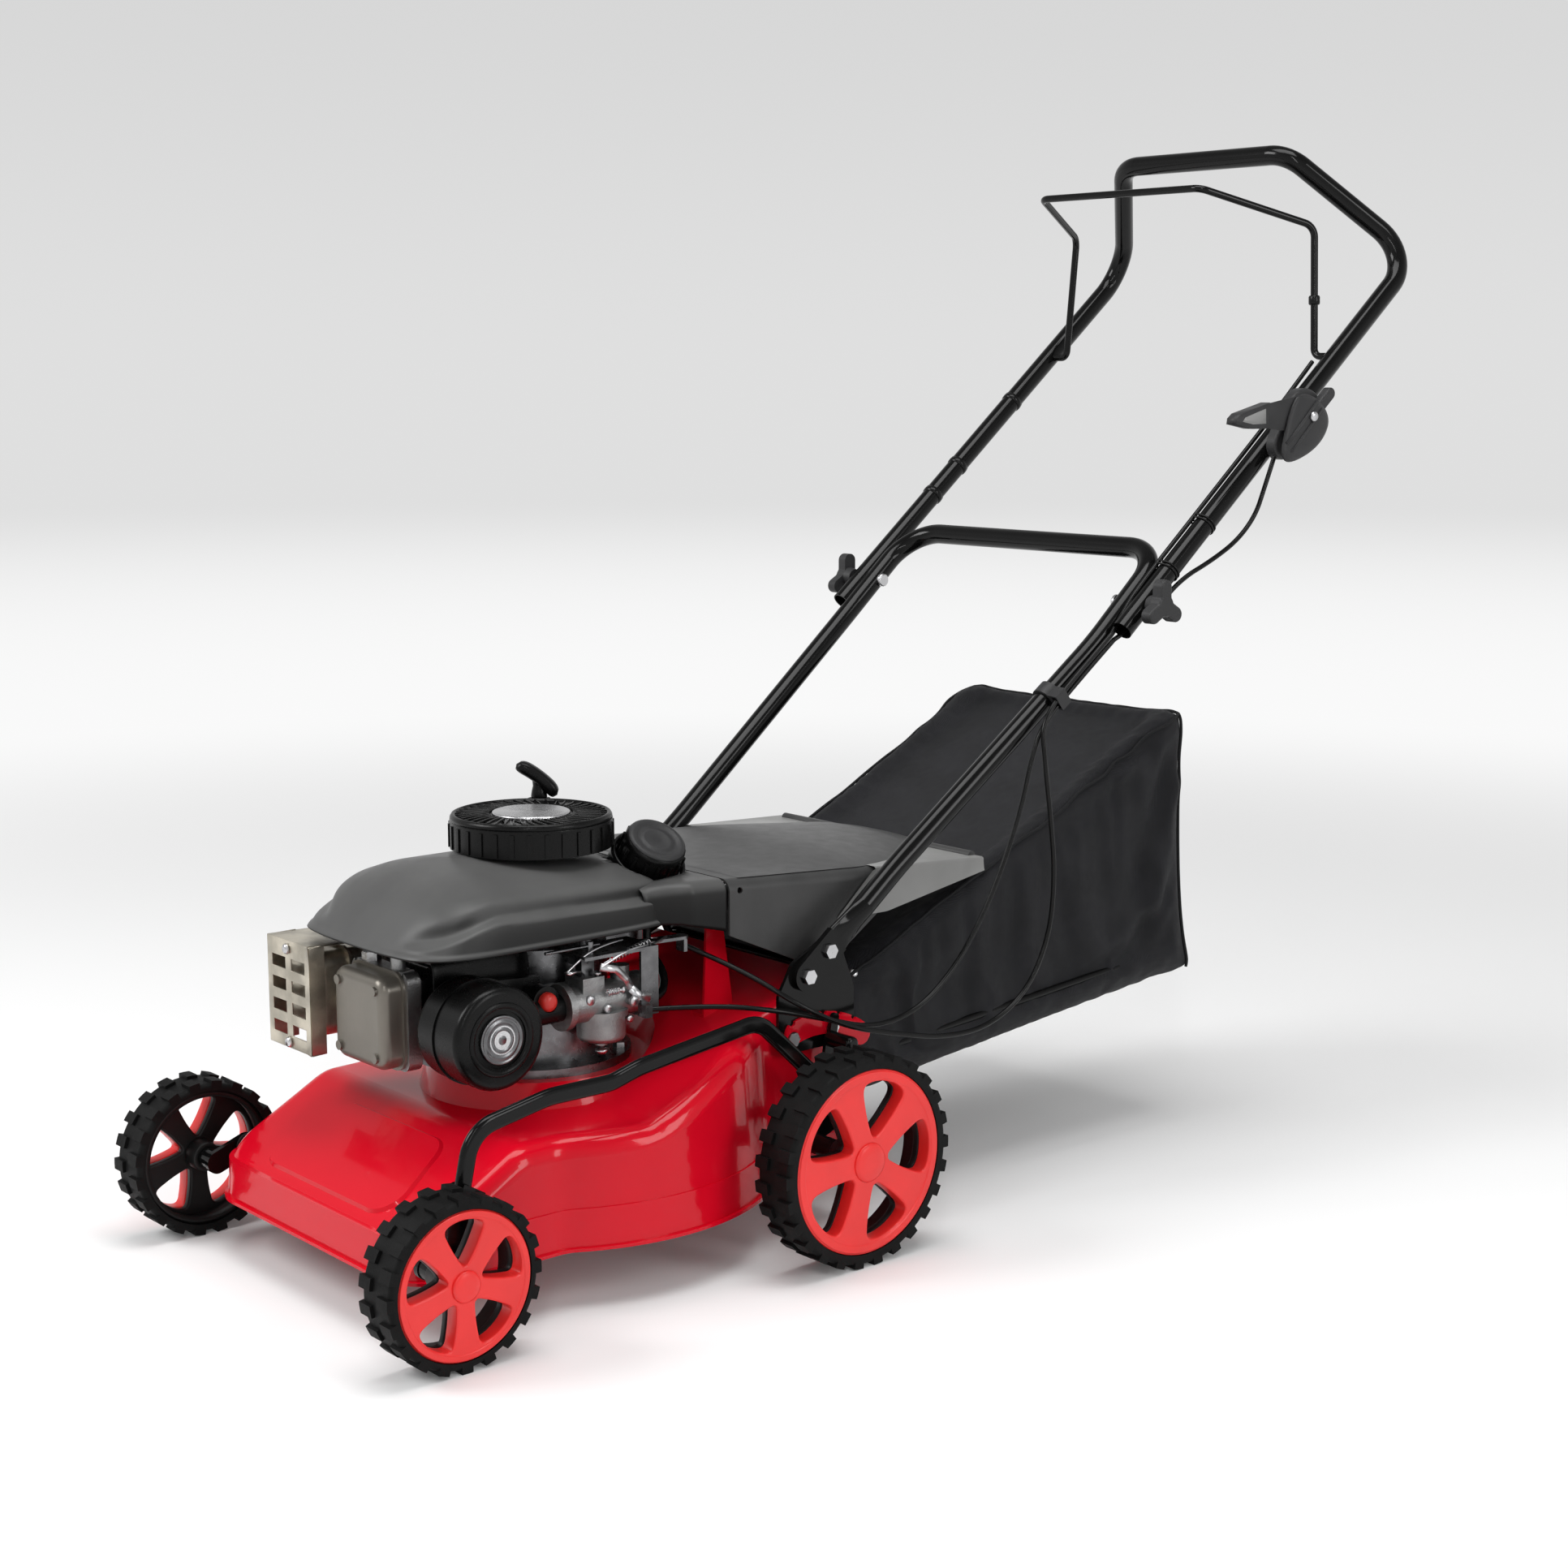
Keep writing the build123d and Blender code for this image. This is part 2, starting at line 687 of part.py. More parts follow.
def height_lever(pivot):
    """Flat lever on the rear axle with a round grip standing out sideways."""
    turn = radians(LEVER_ANGLE)
    tip = (pivot[0] + LEVER_R * cos(turn), pivot[1] + LEVER_R * sin(turn))
    blade = side_plate(strap(pivot, tip, LEVER_W), LEVER_X, LEVER_X + LEVER_T)
    blade -= rod_x(AXLE_R, LEVER_X, LEVER_X + LEVER_T, *pivot)
    end = (pivot[0] + LEVER_TONGUE_R * cos(turn), pivot[1] + LEVER_TONGUE_R * sin(turn))
    blade += side_plate(strap(tip, end, LEVER_TONGUE_W), LEVER_X, LEVER_X + LEVER_T)
    grip = rod_x(LEVER_GRIP_R, LEVER_X, LEVER_X + LEVER_GRIP_LEN, *tip)
    grip = fillet(grip.edges().sort_by(Axis.X)[-1], LEVER_GRIP_R / 2)
    return blade + grip


def quadrant(pivot):
    """Notched sector plate that holds the height lever."""
    span = QUADRANT_TO - QUADRANT_FROM
    arc = CenterArc((0, 0), QUADRANT_R - QUADRANT_DEEP / 2, QUADRANT_FROM, span)
    sector = SlotArc(arc, QUADRANT_DEEP)
    step = span / (QUADRANT_NOTCHES - 1)
    for i in range(QUADRANT_NOTCHES):
        sector -= Rot(0, 0, QUADRANT_FROM + step * i) * Pos(QUADRANT_R, 0) * Circle(QUADRANT_NOTCH / 2)
    sector = Pos(*pivot) * sector
    for bolt in BRACKET_BOLTS:
        sector -= Pos(*bolt) * Circle(BRACKET_HEAD_R + EASE)
    x0 = BRACKET_X + BRACKET_T
    return side_plate(sector, x0, x0 + QUADRANT_T)


def link_bar():
    """Link bar over the deck's left side with an eye at each end."""
    front = link_pin(FRONT_PIVOT)
    rear = link_pin(REAR_PIVOT)
    middle = LINK_X + LINK_T / 2
    route = [front, (-168, 188), (-88, 203), (-20, 203), (10, 211), (150, 229), (212, 171), rear]
    points = [(middle, y, z) for y, z in route]
    section = Rot(0, 0, 90) * SlotOverall(LINK_DEEP, LINK_T)
    bar = bent_rod(points, [34, 90, 60, 60, 30, 26], section)
    for pin in (front, rear):
        bar += rod_x(LINK_EYE_R, LINK_X, LINK_X + LINK_T, *pin)
    bar -= rod_x(PIN_R + EASE, LINK_X, LINK_X + LINK_T, *front)
    return bar - rod_x(PIN_R + RUN_FIT, LINK_X, LINK_X + LINK_T, *rear)


def axle_bush(pivot, wall_x):
    """Flanged bush in the deck's side wall."""
    flange = rod_x(BUSH_FLANGE_R, wall_x, wall_x + BUSH_FLANGE_T, *pivot)
    sleeve = rod_x(BUSH_R, wall_x - BUSH_LEN, wall_x, *pivot)
    return flange + sleeve - rod_x(AXLE_R + RUN_FIT, wall_x - BUSH_LEN, wall_x + BUSH_FLANGE_T, *pivot)


def wall_at(half, z):
    """Outside of a straight deck wall at a height."""
    return half - (z - LIP_Z) * tan(radians(DECK_TAPER))


FRONT_BUSH_X = wall_at(NOSE_HALF, FRONT_PIVOT[1] - BUSH_FLANGE_R) + EASE
REAR_BUSH_X = wall_at(TUNNEL_HALF, REAR_PIVOT[1] - BUSH_FLANGE_R) + EASE
for pivot, wall_x in ((FRONT_PIVOT, FRONT_BUSH_X), (REAR_PIVOT, REAR_BUSH_X)):
    spot = rod_x(BUSH_FLANGE_R + EASE, wall_x, wall_x + 40, *pivot)
    hole = rod_x(BUSH_R, wall_x - 40, wall_x + 40, *pivot)
    deck_shell = deck_shell - spot - hole - other_side(spot) - other_side(hole)

front_bush = axle_bush(FRONT_PIVOT, FRONT_BUSH_X)
rear_bush = axle_bush(REAR_PIVOT, REAR_BUSH_X)
keep("axle_bushes", Compound(children=[front_bush, other_side(front_bush), rear_bush, other_side(rear_bush)]))
keep("front_axle", axle(FRONT_PIVOT, FRONT_FACE_X))
keep("rear_axle", axle(REAR_PIVOT, REAR_FACE_X))
keep("height_lever", height_lever(REAR_PIVOT))
keep("height_quadrant", quadrant(REAR_PIVOT))
keep("height_link", link_bar())

# Handle: brackets, lower loop, upper bow, bolts and knobs

LOWER_SLOPE = atan2(LOWER_BEND_Z - LOWER_FOOT_Z, LOWER_BEND_Y - LOWER_FOOT_Y)
FOOT_X = BRACKET_X + BRACKET_T + FOOT_FLAT_T / 2
UPPER_X = LOWER_X + 2 * TUBE_R + TUBE_SIDE_GAP
BOLT_Z = BOW_Z - (BOW_Y - BOLT_Y) * tan(radians(HANDLE_ANGLE))


def along_foot(run):
    """Point on the straight foot of the lower handle, a run above its lower bolt."""
    return (LOWER_FOOT_Y + run * cos(LOWER_SLOPE), LOWER_FOOT_Z + run * sin(LOWER_SLOPE))


def along_upper(run):
    """Point on the upper handle's straight leg, a run above the fold bolt."""
    turn = radians(HANDLE_ANGLE)
    return (BOLT_Y + run * cos(turn), BOLT_Z + run * sin(turn))


def loop_of(points):
    """Points of one side followed by their mirror images back to the start."""
    return points + [(-x, y, z) for x, y, z in reversed(points)]


def lower_handle():
    """Lower tube loop with flattened, drilled feet."""
    flat_end = along_foot(FOOT_FLAT_LEN)
    tube_start = along_foot(FOOT_FLAT_LEN + FOOT_BLEND)
    side = [
        (FOOT_X, *tube_start),
        (FOOT_X, *along_foot(FOOT_FLAT_LEN + LOWER_FOOT_RUN)),
        (LOWER_X, LOWER_BEND_Y, LOWER_BEND_Z),
        (LOWER_X, LOWER_TOP_Y, LOWER_TOP_Z),
    ]
    radii = [LOWER_BEND_R, LOWER_BEND_R, LOWER_CORNER_R]
    tube = bent_rod(loop_of(side), radii + radii[::-1], Circle(TUBE_R) - Circle(TUBE_R - TUBE_WALL))
    normal = (0, cos(LOWER_SLOPE), sin(LOWER_SLOPE))
    flat = Plane(origin=(FOOT_X, *flat_end), x_dir=(1, 0, 0), z_dir=normal)
    round_end = Plane(origin=(FOOT_X, *tube_start), x_dir=(1, 0, 0), z_dir=normal)
    blend = loft([
        flat * RectangleRounded(FOOT_FLAT_T, FOOT_FLAT_W, FOOT_FLAT_T / 2 - 0.1), round_end * Circle(TUBE_R)])
    foot = side_plate(strap(along_foot(0), flat_end, FOOT_FLAT_W), FOOT_X - FOOT_FLAT_T / 2,
                      FOOT_X + FOOT_FLAT_T / 2)
    past = flat * Pos(0, 0, 50) * Box(100, 100, 100)
    foot = foot - past + blend
    for run in FOOT_BOLTS:
        foot -= rod_x(BRACKET_BOLT_R + EASE, FOOT_X - 20, FOOT_X + 20, *along_foot(run))
    hole = rod_x(HANDLE_BOLT_R + EASE, LOWER_X - 20, LOWER_X + 20, BOLT_Y, BOLT_Z)
    return tube + foot + other_side(foot) - hole - other_side(hole)


def handle_bracket():
    """Side bracket with two standoff bosses shaped to the deck wall."""
    outline = polygon((196, 182), (292, 182), (292, 236), (268, 296), (214, 270), (196, 240))
    plate = side_plate(fillet(outline.vertices(), 10), BRACKET_X, BRACKET_X + BRACKET_T)
    for y, z in BRACKET_BOLTS:
        plate += rod_x(BRACKET_BOSS_R, BRACKET_X - 22, BRACKET_X, y, z)
    plate -= deck_outer
    for y, z in BRACKET_BOLTS:
        plate -= rod_x(BRACKET_BOLT_R, BRACKET_X - 40, BRACKET_X + 40, y, z)
    for run in FOOT_BOLTS:
        plate -= rod_x(BRACKET_BOLT_R, BRACKET_X - 20, BRACKET_X + 20, *along_foot(run))
    return plate


def hex_bolt(x_head, x_nut, y, z):
    """Bolt along X with its head outside and a nut inside."""
    head = side_plate(Pos(y, z) * RegularPolygon(BRACKET_HEAD_R, 6), x_head, x_head + BRACKET_HEAD_T)
    nut = side_plate(Pos(y, z) * RegularPolygon(BRACKET_HEAD_R, 6), x_nut - BRACKET_NUT_T, x_nut)
    return head + nut + rod_x(BRACKET_BOLT_R, x_nut - BRACKET_NUT_T, x_head, y, z)


def bracket_bolts():
    """Bolts through the brackets on both sides."""
    bolts = [
        hex_bolt(BRACKET_X + BRACKET_T, wall_at(TUNNEL_HALF, z + BRACKET_HEAD_R) - DECK_WALL - EASE, y, z)
        for y, z in BRACKET_BOLTS
    ]
    bolts += [hex_bolt(FOOT_X + FOOT_FLAT_T / 2, BRACKET_X, *along_foot(run)) for run in FOOT_BOLTS]
    return bolts + [other_side(bolt) for bolt in bolts]


def upper_handle():
    """Upper bow of one bent tube, open at its lower ends."""
    side = [
        (UPPER_X, *along_upper(-UPPER_TAIL)),
        (UPPER_X, BOW_Y, BOW_Z),
        (BOW_TOP_X, BOW_TOP_Y, BOW_TOP_Z),
    ]
    radii = [BOW_R, BOW_TOP_R]
    tube = bent_rod(loop_of(side), radii + radii[::-1], Circle(TUBE_R) - Circle(TUBE_R - TUBE_WALL))
    hole = rod_x(HANDLE_BOLT_R + RUN_FIT, UPPER_X - 20, UPPER_X + 20, BOLT_Y, BOLT_Z)
    bail_hole = rod_x(BAIL_R + RUN_FIT, UPPER_X - 20, UPPER_X, BAIL_Y, BAIL_Z)
    return tube - hole - bail_hole - other_side(hole) - other_side(bail_hole)


BAIL_Z = BOLT_Z + (BAIL_Y - BOLT_Y) * tan(radians(HANDLE_ANGLE))
KNOB_X = UPPER_X + TUBE_R + EASE


def handle_bolt():
    """Carriage bolt through both tubes."""
    head_x = LOWER_X - TUBE_R
    shank = rod_x(HANDLE_BOLT_R, head_x - 1, KNOB_X + KNOB_NECK + KNOB_T / 2, BOLT_Y, BOLT_Z)
    head = rod_x(BRACKET_HEAD_R, head_x - BRACKET_HEAD_T, head_x, BOLT_Y, BOLT_Z)
    return shank + fillet(head.edges().sort_by(Axis.X)[0], 2)


def wing_knob():
    """Three-lobed knob with a neck against the tube."""
    face = Circle(KNOB_R)
    for i in range(KNOB_LOBES):
        turn = Rot(0, 0, 90 + 360 / KNOB_LOBES * i)
        face += turn * strap((0, 0), (KNOB_LOBE_AT, 0), 2 * KNOB_LOBE_R)
    face = fillet([v for v in face.vertices() if hypot(v.X, v.Y) < KNOB_LOBE_AT], 4)
    body = extrude(side_sketch(Pos(BOLT_Y, BOLT_Z) * face, KNOB_X + KNOB_NECK), amount=KNOB_T)
    outer = [e for e in body.edges() if e.center().X > KNOB_X + KNOB_NECK + KNOB_T - 0.1]
    body = fillet(outer, KNOB_EDGE_R)
    neck = Pos(KNOB_X + KNOB_NECK / 2, BOLT_Y, BOLT_Z) * Rot(0, 90, 0) * Cone(KNOB_R - 2, KNOB_R, KNOB_NECK)
    bore = rod_x(HANDLE_BOLT_R + RUN_FIT, KNOB_X - 1, KNOB_X + KNOB_NECK + KNOB_T / 2 + EASE, BOLT_Y, BOLT_Z)
    return body + neck - bore


bracket = handle_bracket()
for y, z in BRACKET_BOLTS:
    hole = rod_x(BRACKET_BOLT_R, BRACKET_X - 40, BRACKET_X, y, z)
    deck_shell = deck_shell - hole - other_side(hole)
knob = wing_knob()
keep("handle_brackets", Compound(children=both(bracket)))
keep("lower_handle", lower_handle())
keep("upper_handle", upper_handle())
keep("wing_knob_left", knob)
keep("wing_knob_right", other_side(knob))


def bail():
    """Stop bar: bent rod whose feet turn in the upper tubes."""
    side = [
        (UPPER_X - TUBE_R + 5, BAIL_Y, BAIL_Z),
        (BAIL_FOOT_X, BAIL_Y, BAIL_Z),
        (BAIL_KNEE_X, BAIL_KNEE_Y, BAIL_KNEE_Z),
        (BAIL_TOP_X, BAIL_TOP_Y, BAIL_TOP_Z),
    ]
    radii = [BAIL_FOOT_R, BAIL_KNEE_R, BAIL_TOP_R]
    path = FilletPolyline(*loop_of(side), radius=radii + radii[::-1])
    start = Plane(origin=path @ 0, x_dir=(0, 1, 0), z_dir=path % 0)
    return sweep(start * Circle(BAIL_R), path=path)


keep("bail", bail())

# Engine

CAP_AXIS = Plane(origin=(CAP_X, CAP_Y, CAP_Z), x_dir=(0, 1, 0),
                 z_dir=(sin(radians(CAP_TILT)), 0, cos(radians(CAP_TILT))))


def on_cap_axis(shape, depth):
    """Place a Z-based shape with its top end a depth below the top of the fuel cap."""
    return CAP_AXIS * Pos(0, 0, -depth) * shape


def engine_block():
    """Crankcase with finned cylinder, intake boss and posts for filter, tank and shroud."""
    body = rod_z(BASE_R, 0, CRANK_Y, SEAT_Z, SEAT_Z + BASE_T)
    body += rod_z(CASE_R, 0, CRANK_Y, SEAT_Z, CASE_TOP_Z)
    body += rod_z(30, 0, CRANK_Y, 152, SEAT_Z + 1)
    body += rod_z(24, 0, CRANK_Y, CASE_TOP_Z - 1, 322)
    body += block((-CYL_HALF_X, CYL_HALF_X), (HEAD_Y, CRANK_Y), (CYL_Z - CYL_HALF_Z, CYL_Z + CYL_HALF_Z))
    for i in range(FIN_COUNT):
        y = FIN_FIRST_Y - FIN_PITCH * i
        fin = Plane(origin=(0, y, CYL_Z), x_dir=(1, 0, 0), z_dir=(0, -1, 0)) * RectangleRounded(
            2 * FIN_HALF_X, 2 * FIN_HALF_Z, 10)
        body += extrude(fin, amount=FIN_T)
    body += rod_x(INTAKE_R, 30, INTAKE_X, INTAKE_Y, CARB_Z)
    for y, z in FILTER_POSTS:
        body += rod_x(FILTER_POST_R, 20, FILTER_BACK_X, y, z)
    for x in (-40, 40):
        body += block((x - 9, x + 9), (60, TANK_Y[1] - 12), (TANK_Z[0] - 20, TANK_Z[0]))
    for x in (-POST_X, POST_X):
        body += block((min(x, x * 0.7), max(x, x * 0.7)), (CRANK_Y - 9, CRANK_Y + 9), (282, CASE_TOP_Z))
        body += rod_z(POST_R, x, CRANK_Y, 282, POST_Z)
    for x, y in base_bolts():
        body -= rod_z(ENGINE_BOLT_R, x, y, SEAT_Z - 5, SEAT_Z + BASE_T + 5)
    return body - rod_z(SHAFT_R + RUN_FIT, 0, CRANK_Y, 140, 330)


def base_bolts():
    """Places of the bolts that hold the engine to the deck."""
    turns = [radians(45 + 90 * i) for i in range(4)]
    return [(ENGINE_BOLT_CIRCLE * cos(t), CRANK_Y + ENGINE_BOLT_CIRCLE * sin(t)) for t in turns]


def engine_bolts():
    """Hex bolts through base flange and deck with nuts under the deck."""
    bolts = []
    for x, y in base_bolts():
        top = SEAT_Z + BASE_T
        low = SEAT_Z - DECK_WALL
        head = extrude(Pos(x, y, top) * RegularPolygon(7, 6), amount=5)
        nut = extrude(Pos(x, y, low - 6) * RegularPolygon(7, 6), amount=6)
        bolts.append(head + nut + rod_z(ENGINE_BOLT_R, x, y, low - 6, top))
    return bolts


def cylinder_head():
    """Finned head plate with spark plug boss and front shroud post."""
    face = Plane(origin=(0, HEAD_Y, CYL_Z), x_dir=(1, 0, 0), z_dir=(0, -1, 0)) * RectangleRounded(
        2 * FIN_HALF_X, 2 * FIN_HALF_Z, 10)
    body = extrude(face, amount=HEAD_T)
    for x in (-40, -32, 32, 40):
        body -= block((x - 1.5, x + 1.5), (HEAD_Y - HEAD_T - 1, HEAD_Y + 1), (CYL_Z + 18, CYL_Z + 60))
    middle = HEAD_Y - HEAD_T / 2
    body += rod_z(POST_R, FRONT_POST_X, middle, CYL_Z + 30, POST_Z)
    return body - rod_z(PLUG_R, PLUG_X, middle, CYL_Z + 20, CYL_Z + 70)


def spark_plug():
    """Spark plug with hexagon and insulator, and the boot over its tip."""
    y = HEAD_Y - HEAD_T / 2
    top = CYL_Z + FIN_HALF_Z
    body = rod_z(PLUG_R, PLUG_X, y, CYL_Z + 20, top)
    body += extrude(Pos(PLUG_X, y, top) * RegularPolygon(9, 6), amount=8)
    return body + rod_z(4.5, PLUG_X, y, top + 7, top + 20) + rod_z(7, PLUG_X, y, top + 19, top + 36)


def rocker_cover():
    """Pressed cover on the head with a flange all round."""
    def field(out, y):
        plane = Plane(origin=(0, y, CYL_Z), x_dir=(1, 0, 0), z_dir=(0, -1, 0))
        return plane * RectangleRounded(2 * (ROCKER_HALF_X + out), 2 * (ROCKER_HALF_Z + out), 14 + out)
    back = HEAD_Y - HEAD_T
    dome = extrude(field(0, back), amount=ROCKER_DEEP)
    dome = fillet(dome.faces().sort_by(Axis.Y)[0].edges(), 9)
    hollow = extrude(field(-ROCKER_WALL, back + 1), amount=ROCKER_DEEP - ROCKER_WALL + 1)
    hollow = fillet(hollow.faces().sort_by(Axis.Y)[0].edges(), 8)
    flange = extrude(field(ROCKER_FLANGE_OUT, back), amount=ROCKER_FLANGE)
    cover = dome + flange - hollow
    for x in (-ROCKER_HALF_X + 12, ROCKER_HALF_X - 12):
        for z in (CYL_Z - ROCKER_HALF_Z + 12, CYL_Z + ROCKER_HALF_Z - 12):
            bump = rod_y(4.5, x, back - ROCKER_DEEP - 2.5, back - ROCKER_DEEP + 8, z)
            cover += bump
    return cover


def muffler():
    """Pressed muffler box with a seam and the pipe to the exhaust port."""
    body = fillet(block(MUFFLER_X, MUFFLER_Y, MUFFLER_Z).edges(), MUFFLER_FILLET)
    seam_y = (MUFFLER_Y[0] + MUFFLER_Y[1]) / 2
    seam = Plane(origin=((MUFFLER_X[0] + MUFFLER_X[1]) / 2, seam_y, sum(MUFFLER_Z) / 2), x_dir=(1, 0, 0),
                 z_dir=(0, 1, 0)) * RectangleRounded(
        MUFFLER_X[1] - MUFFLER_X[0] + 6, MUFFLER_Z[1] - MUFFLER_Z[0] + 6, 15)
    body += extrude(seam, amount=2.5)
    return body + rod_x(EXHAUST_R, MUFFLER_X[1] - 6, -FIN_HALF_X, EXHAUST_Y, CYL_Z)


def muffler_guard():
    """Slotted guard in front of the muffler with a top flange and two standoffs."""
    x0 = MUFFLER_X[0] - GUARD_OUT
    x1 = MUFFLER_X[1] + GUARD_OUT
    z0 = MUFFLER_Z[0] - 12
    z1 = MUFFLER_Z[1] + 11
    y0 = MUFFLER_Y[0] - GUARD_GAP
    plate = block((x0, x1), (y0 - GUARD_T, y0), (z0, z1))
    plate += block((x0, x1), (y0 - GUARD_T, y0 + 46), (z1 - GUARD_T, z1))
    plate += block((x0, x0 + GUARD_T), (y0 - GUARD_T, y0 + 30), (z0 + 16, z1))
    step = (z1 - z0 - 24) / GUARD_SLOTS
    for i in range(GUARD_SLOTS):
        z = z0 + 12 + step * (i + 0.5)
        face = Plane(origin=((x0 + x1) / 2, y0, z), x_dir=(1, 0, 0), z_dir=(0, -1, 0)) * SlotOverall(
            x1 - x0 - 22, GUARD_SLOT_H)
        plate -= extrude(face, amount=20, both=True) & block((x0, x1), (y0 - 5, y0 + 5), (z0, z1))
    for x, z in ((x0 + 26, MUFFLER_Z[0] + 22), (x1 - 24, MUFFLER_Z[1] - 20)):
        plate += rod_y(4, x, y0 - GUARD_T - 3, MUFFLER_Y[0], z)
    return plate


def shroud_face(z, half, front, back, corner, grow):
    """Rounded outline of the shroud at one height."""
    return Pos(0, (front + back) / 2, z) * RectangleRounded(
        2 * (half + grow), back - front + 2 * grow, corner + grow)


def shroud_loft(grow, low, high):
    """Tapered body of the shroud, grown or shrunk, between two heights."""
    bottom = shroud_face(low, SHROUD_LOW_HALF, SHROUD_LOW_FRONT, SHROUD_BACK, SHROUD_LOW_CORNER, grow)
    top = shroud_face(high, SHROUD_TOP_HALF, SHROUD_TOP_FRONT, SHROUD_TOP_BACK, SHROUD_TOP_CORNER, grow)
    return loft([bottom, top])


def engine_shroud():
    """Open-bottomed shroud with side ribs, air hole, cap opening and inside posts."""
    outer = shroud_loft(0, SHROUD_LOW_Z, SHROUD_TOP_Z)
    outer = fillet(outer.faces().sort_by(Axis.Z)[-1].edges(), SHROUD_EDGE_R)
    rim = shroud_face(SHROUD_LOW_Z, SHROUD_LOW_HALF, SHROUD_LOW_FRONT, SHROUD_BACK, SHROUD_LOW_CORNER, 2)
    outer += extrude(rim, amount=SHROUD_RIM)
    grown = shroud_loft(SHROUD_RIB_OUT, SHROUD_LOW_Z, SHROUD_TOP_Z)
    for z, y0, y1 in SHROUD_RIBS:
        slab = Pos(0, (y0 + y1) / 2, z) * Rot(-SHROUD_RIB_TILT, 0, 0) * Box(400, y1 - y0, SHROUD_RIB_R * 2)
        outer += grown & slab
    inner = shroud_loft(-SHROUD_WALL, SHROUD_LOW_Z, SHROUD_TOP_Z - SHROUD_WALL)
    inner = fillet(inner.faces().sort_by(Axis.Z)[-1].edges(), SHROUD_EDGE_R - SHROUD_WALL)
    shell = outer - inner
    shell -= rod_z(SHROUD_AIR_R, 0, CRANK_Y, SHROUD_TOP_Z - 20, SHROUD_TOP_Z + 20)
    for x, y in ((-POST_X, CRANK_Y), (POST_X, CRANK_Y), (FRONT_POST_X, HEAD_Y - HEAD_T / 2)):
        shell += rod_z(POST_R + 2, x, y, POST_Z, SHROUD_TOP_Z - 1) & outer
    pocket = on_cap_axis(Cylinder(CAP_POCKET_R, 120), 0)
    return shell - (pocket & block((0, 200), (0, 200), (CAP_POCKET_Z, 500)))


def starter_housing():
    """Drum of the recoil starter: ribbed side, twisted slots, post for the pulley and rope outlet."""
    drum = rod_z(DRUM_R, 0, CRANK_Y, SHROUD_TOP_Z, DRUM_TOP_Z)
    drum = fillet(drum.edges().sort_by(Axis.Z)[-1], 5)
    drum -= rod_z(DRUM_R - DRUM_WALL, 0, CRANK_Y, SHROUD_TOP_Z, DRUM_TOP_Z - DRUM_WALL)
    rib = Pos(DRUM_R, 0, 0) * Box(2 * DRUM_RIB_OUT, DRUM_RIB_W, DRUM_TOP_Z - SHROUD_TOP_Z - 2 * DRUM_RIB_W)
    ribs = [Rot(0, 0, 360 / DRUM_RIBS * i) * rib for i in range(DRUM_RIBS)]
    middle = Pos(0, CRANK_Y, (SHROUD_TOP_Z + DRUM_TOP_Z) / 2 - 3)
    drum += [middle * rib for rib in ribs]
    slots = []
    for i in range(DRUM_SLOTS):
        a0 = radians(360 / DRUM_SLOTS * i)
        a1 = a0 + radians(DRUM_SLOT_TWIST)
        p = (DRUM_SLOT_IN * cos(a0), DRUM_SLOT_IN * sin(a0))
        q = (DRUM_SLOT_OUT * cos(a1), DRUM_SLOT_OUT * sin(a1))
        slots.append(Pos(0, CRANK_Y, DRUM_TOP_Z - 10) * extrude(strap(p, q, DRUM_SLOT_W), amount=20))
    drum -= slots
    drum += rod_z(PULLEY_POST_R, 0, CRANK_Y, PULLEY_POST_Z, DRUM_TOP_Z - 1)
    boss = rod_z(ROPE_BOSS_R, *ROPE_XY, SHROUD_TOP_Z, DRUM_TOP_Z)
    boss += Pos(*ROPE_XY, 0) * Rot(0, 0, ROPE_ANGLE) * block((-8, 0), (-8, 8), (SHROUD_TOP_Z, DRUM_TOP_Z - 4))
    drum += boss
    return drum - rod_z(ROPE_R + 1, *ROPE_XY, ROPE_LOW_Z - EASE, DRUM_TOP_Z + 1)


ROPE_XY = (
    ROPE_AT_R * cos(radians(ROPE_ANGLE)),
    CRANK_Y + ROPE_AT_R * sin(radians(ROPE_ANGLE)),
)


def starter_pulley():
    """Grooved rope pulley on the post of the drum."""
    low = PULLEY_POST_Z + 2
    body = rod_z(PULLEY_R, 0, CRANK_Y, low, low + PULLEY_T)
    groove = rod_z(PULLEY_R + 5, 0, CRANK_Y, low + 3, low + PULLEY_T - 3)
    groove -= rod_z(PULLEY_R - 8, 0, CRANK_Y, low + 3, low + PULLEY_T - 3)
    pawl = Pos(PULLEY_R / 2, CRANK_Y, low - 1) * Box(12, 8, 2)
    return body - groove + pawl - rod_z(PULLEY_POST_R + RUN_FIT, 0, CRANK_Y, low - 5, low + 30)


def starter_badge():
    """Round disc on top of the drum."""
    disc = rod_z(BADGE_R, 0, CRANK_Y, DRUM_TOP_Z, DRUM_TOP_Z + BADGE_T)
    return fillet(disc.edges().sort_by(Axis.Z)[-1], BADGE_T - 1)


def starter_grip():
    """T grip standing on the rope outlet."""
    low = DRUM_TOP_Z + EASE
    stem = Pos(*ROPE_XY, low + GRIP_STEM_H / 2) * Cone(GRIP_STEM_R, GRIP_STEM_R - 2, GRIP_STEM_H)
    bar = Cylinder(GRIP_R, GRIP_LEN - 2 * GRIP_R)
    for end in (-1, 1):
        bar += Pos(0, 0, end * (GRIP_LEN / 2 - GRIP_R)) * Sphere(GRIP_R)
    lift = low + GRIP_STEM_H + 8
    grip = stem + Pos(*ROPE_XY, lift) * Rot(0, 0, GRIP_YAW) * Rot(0, 90 - GRIP_TILT, 0) * bar
    return grip - rod_z(ROPE_R, *ROPE_XY, low - 1, low + 12)


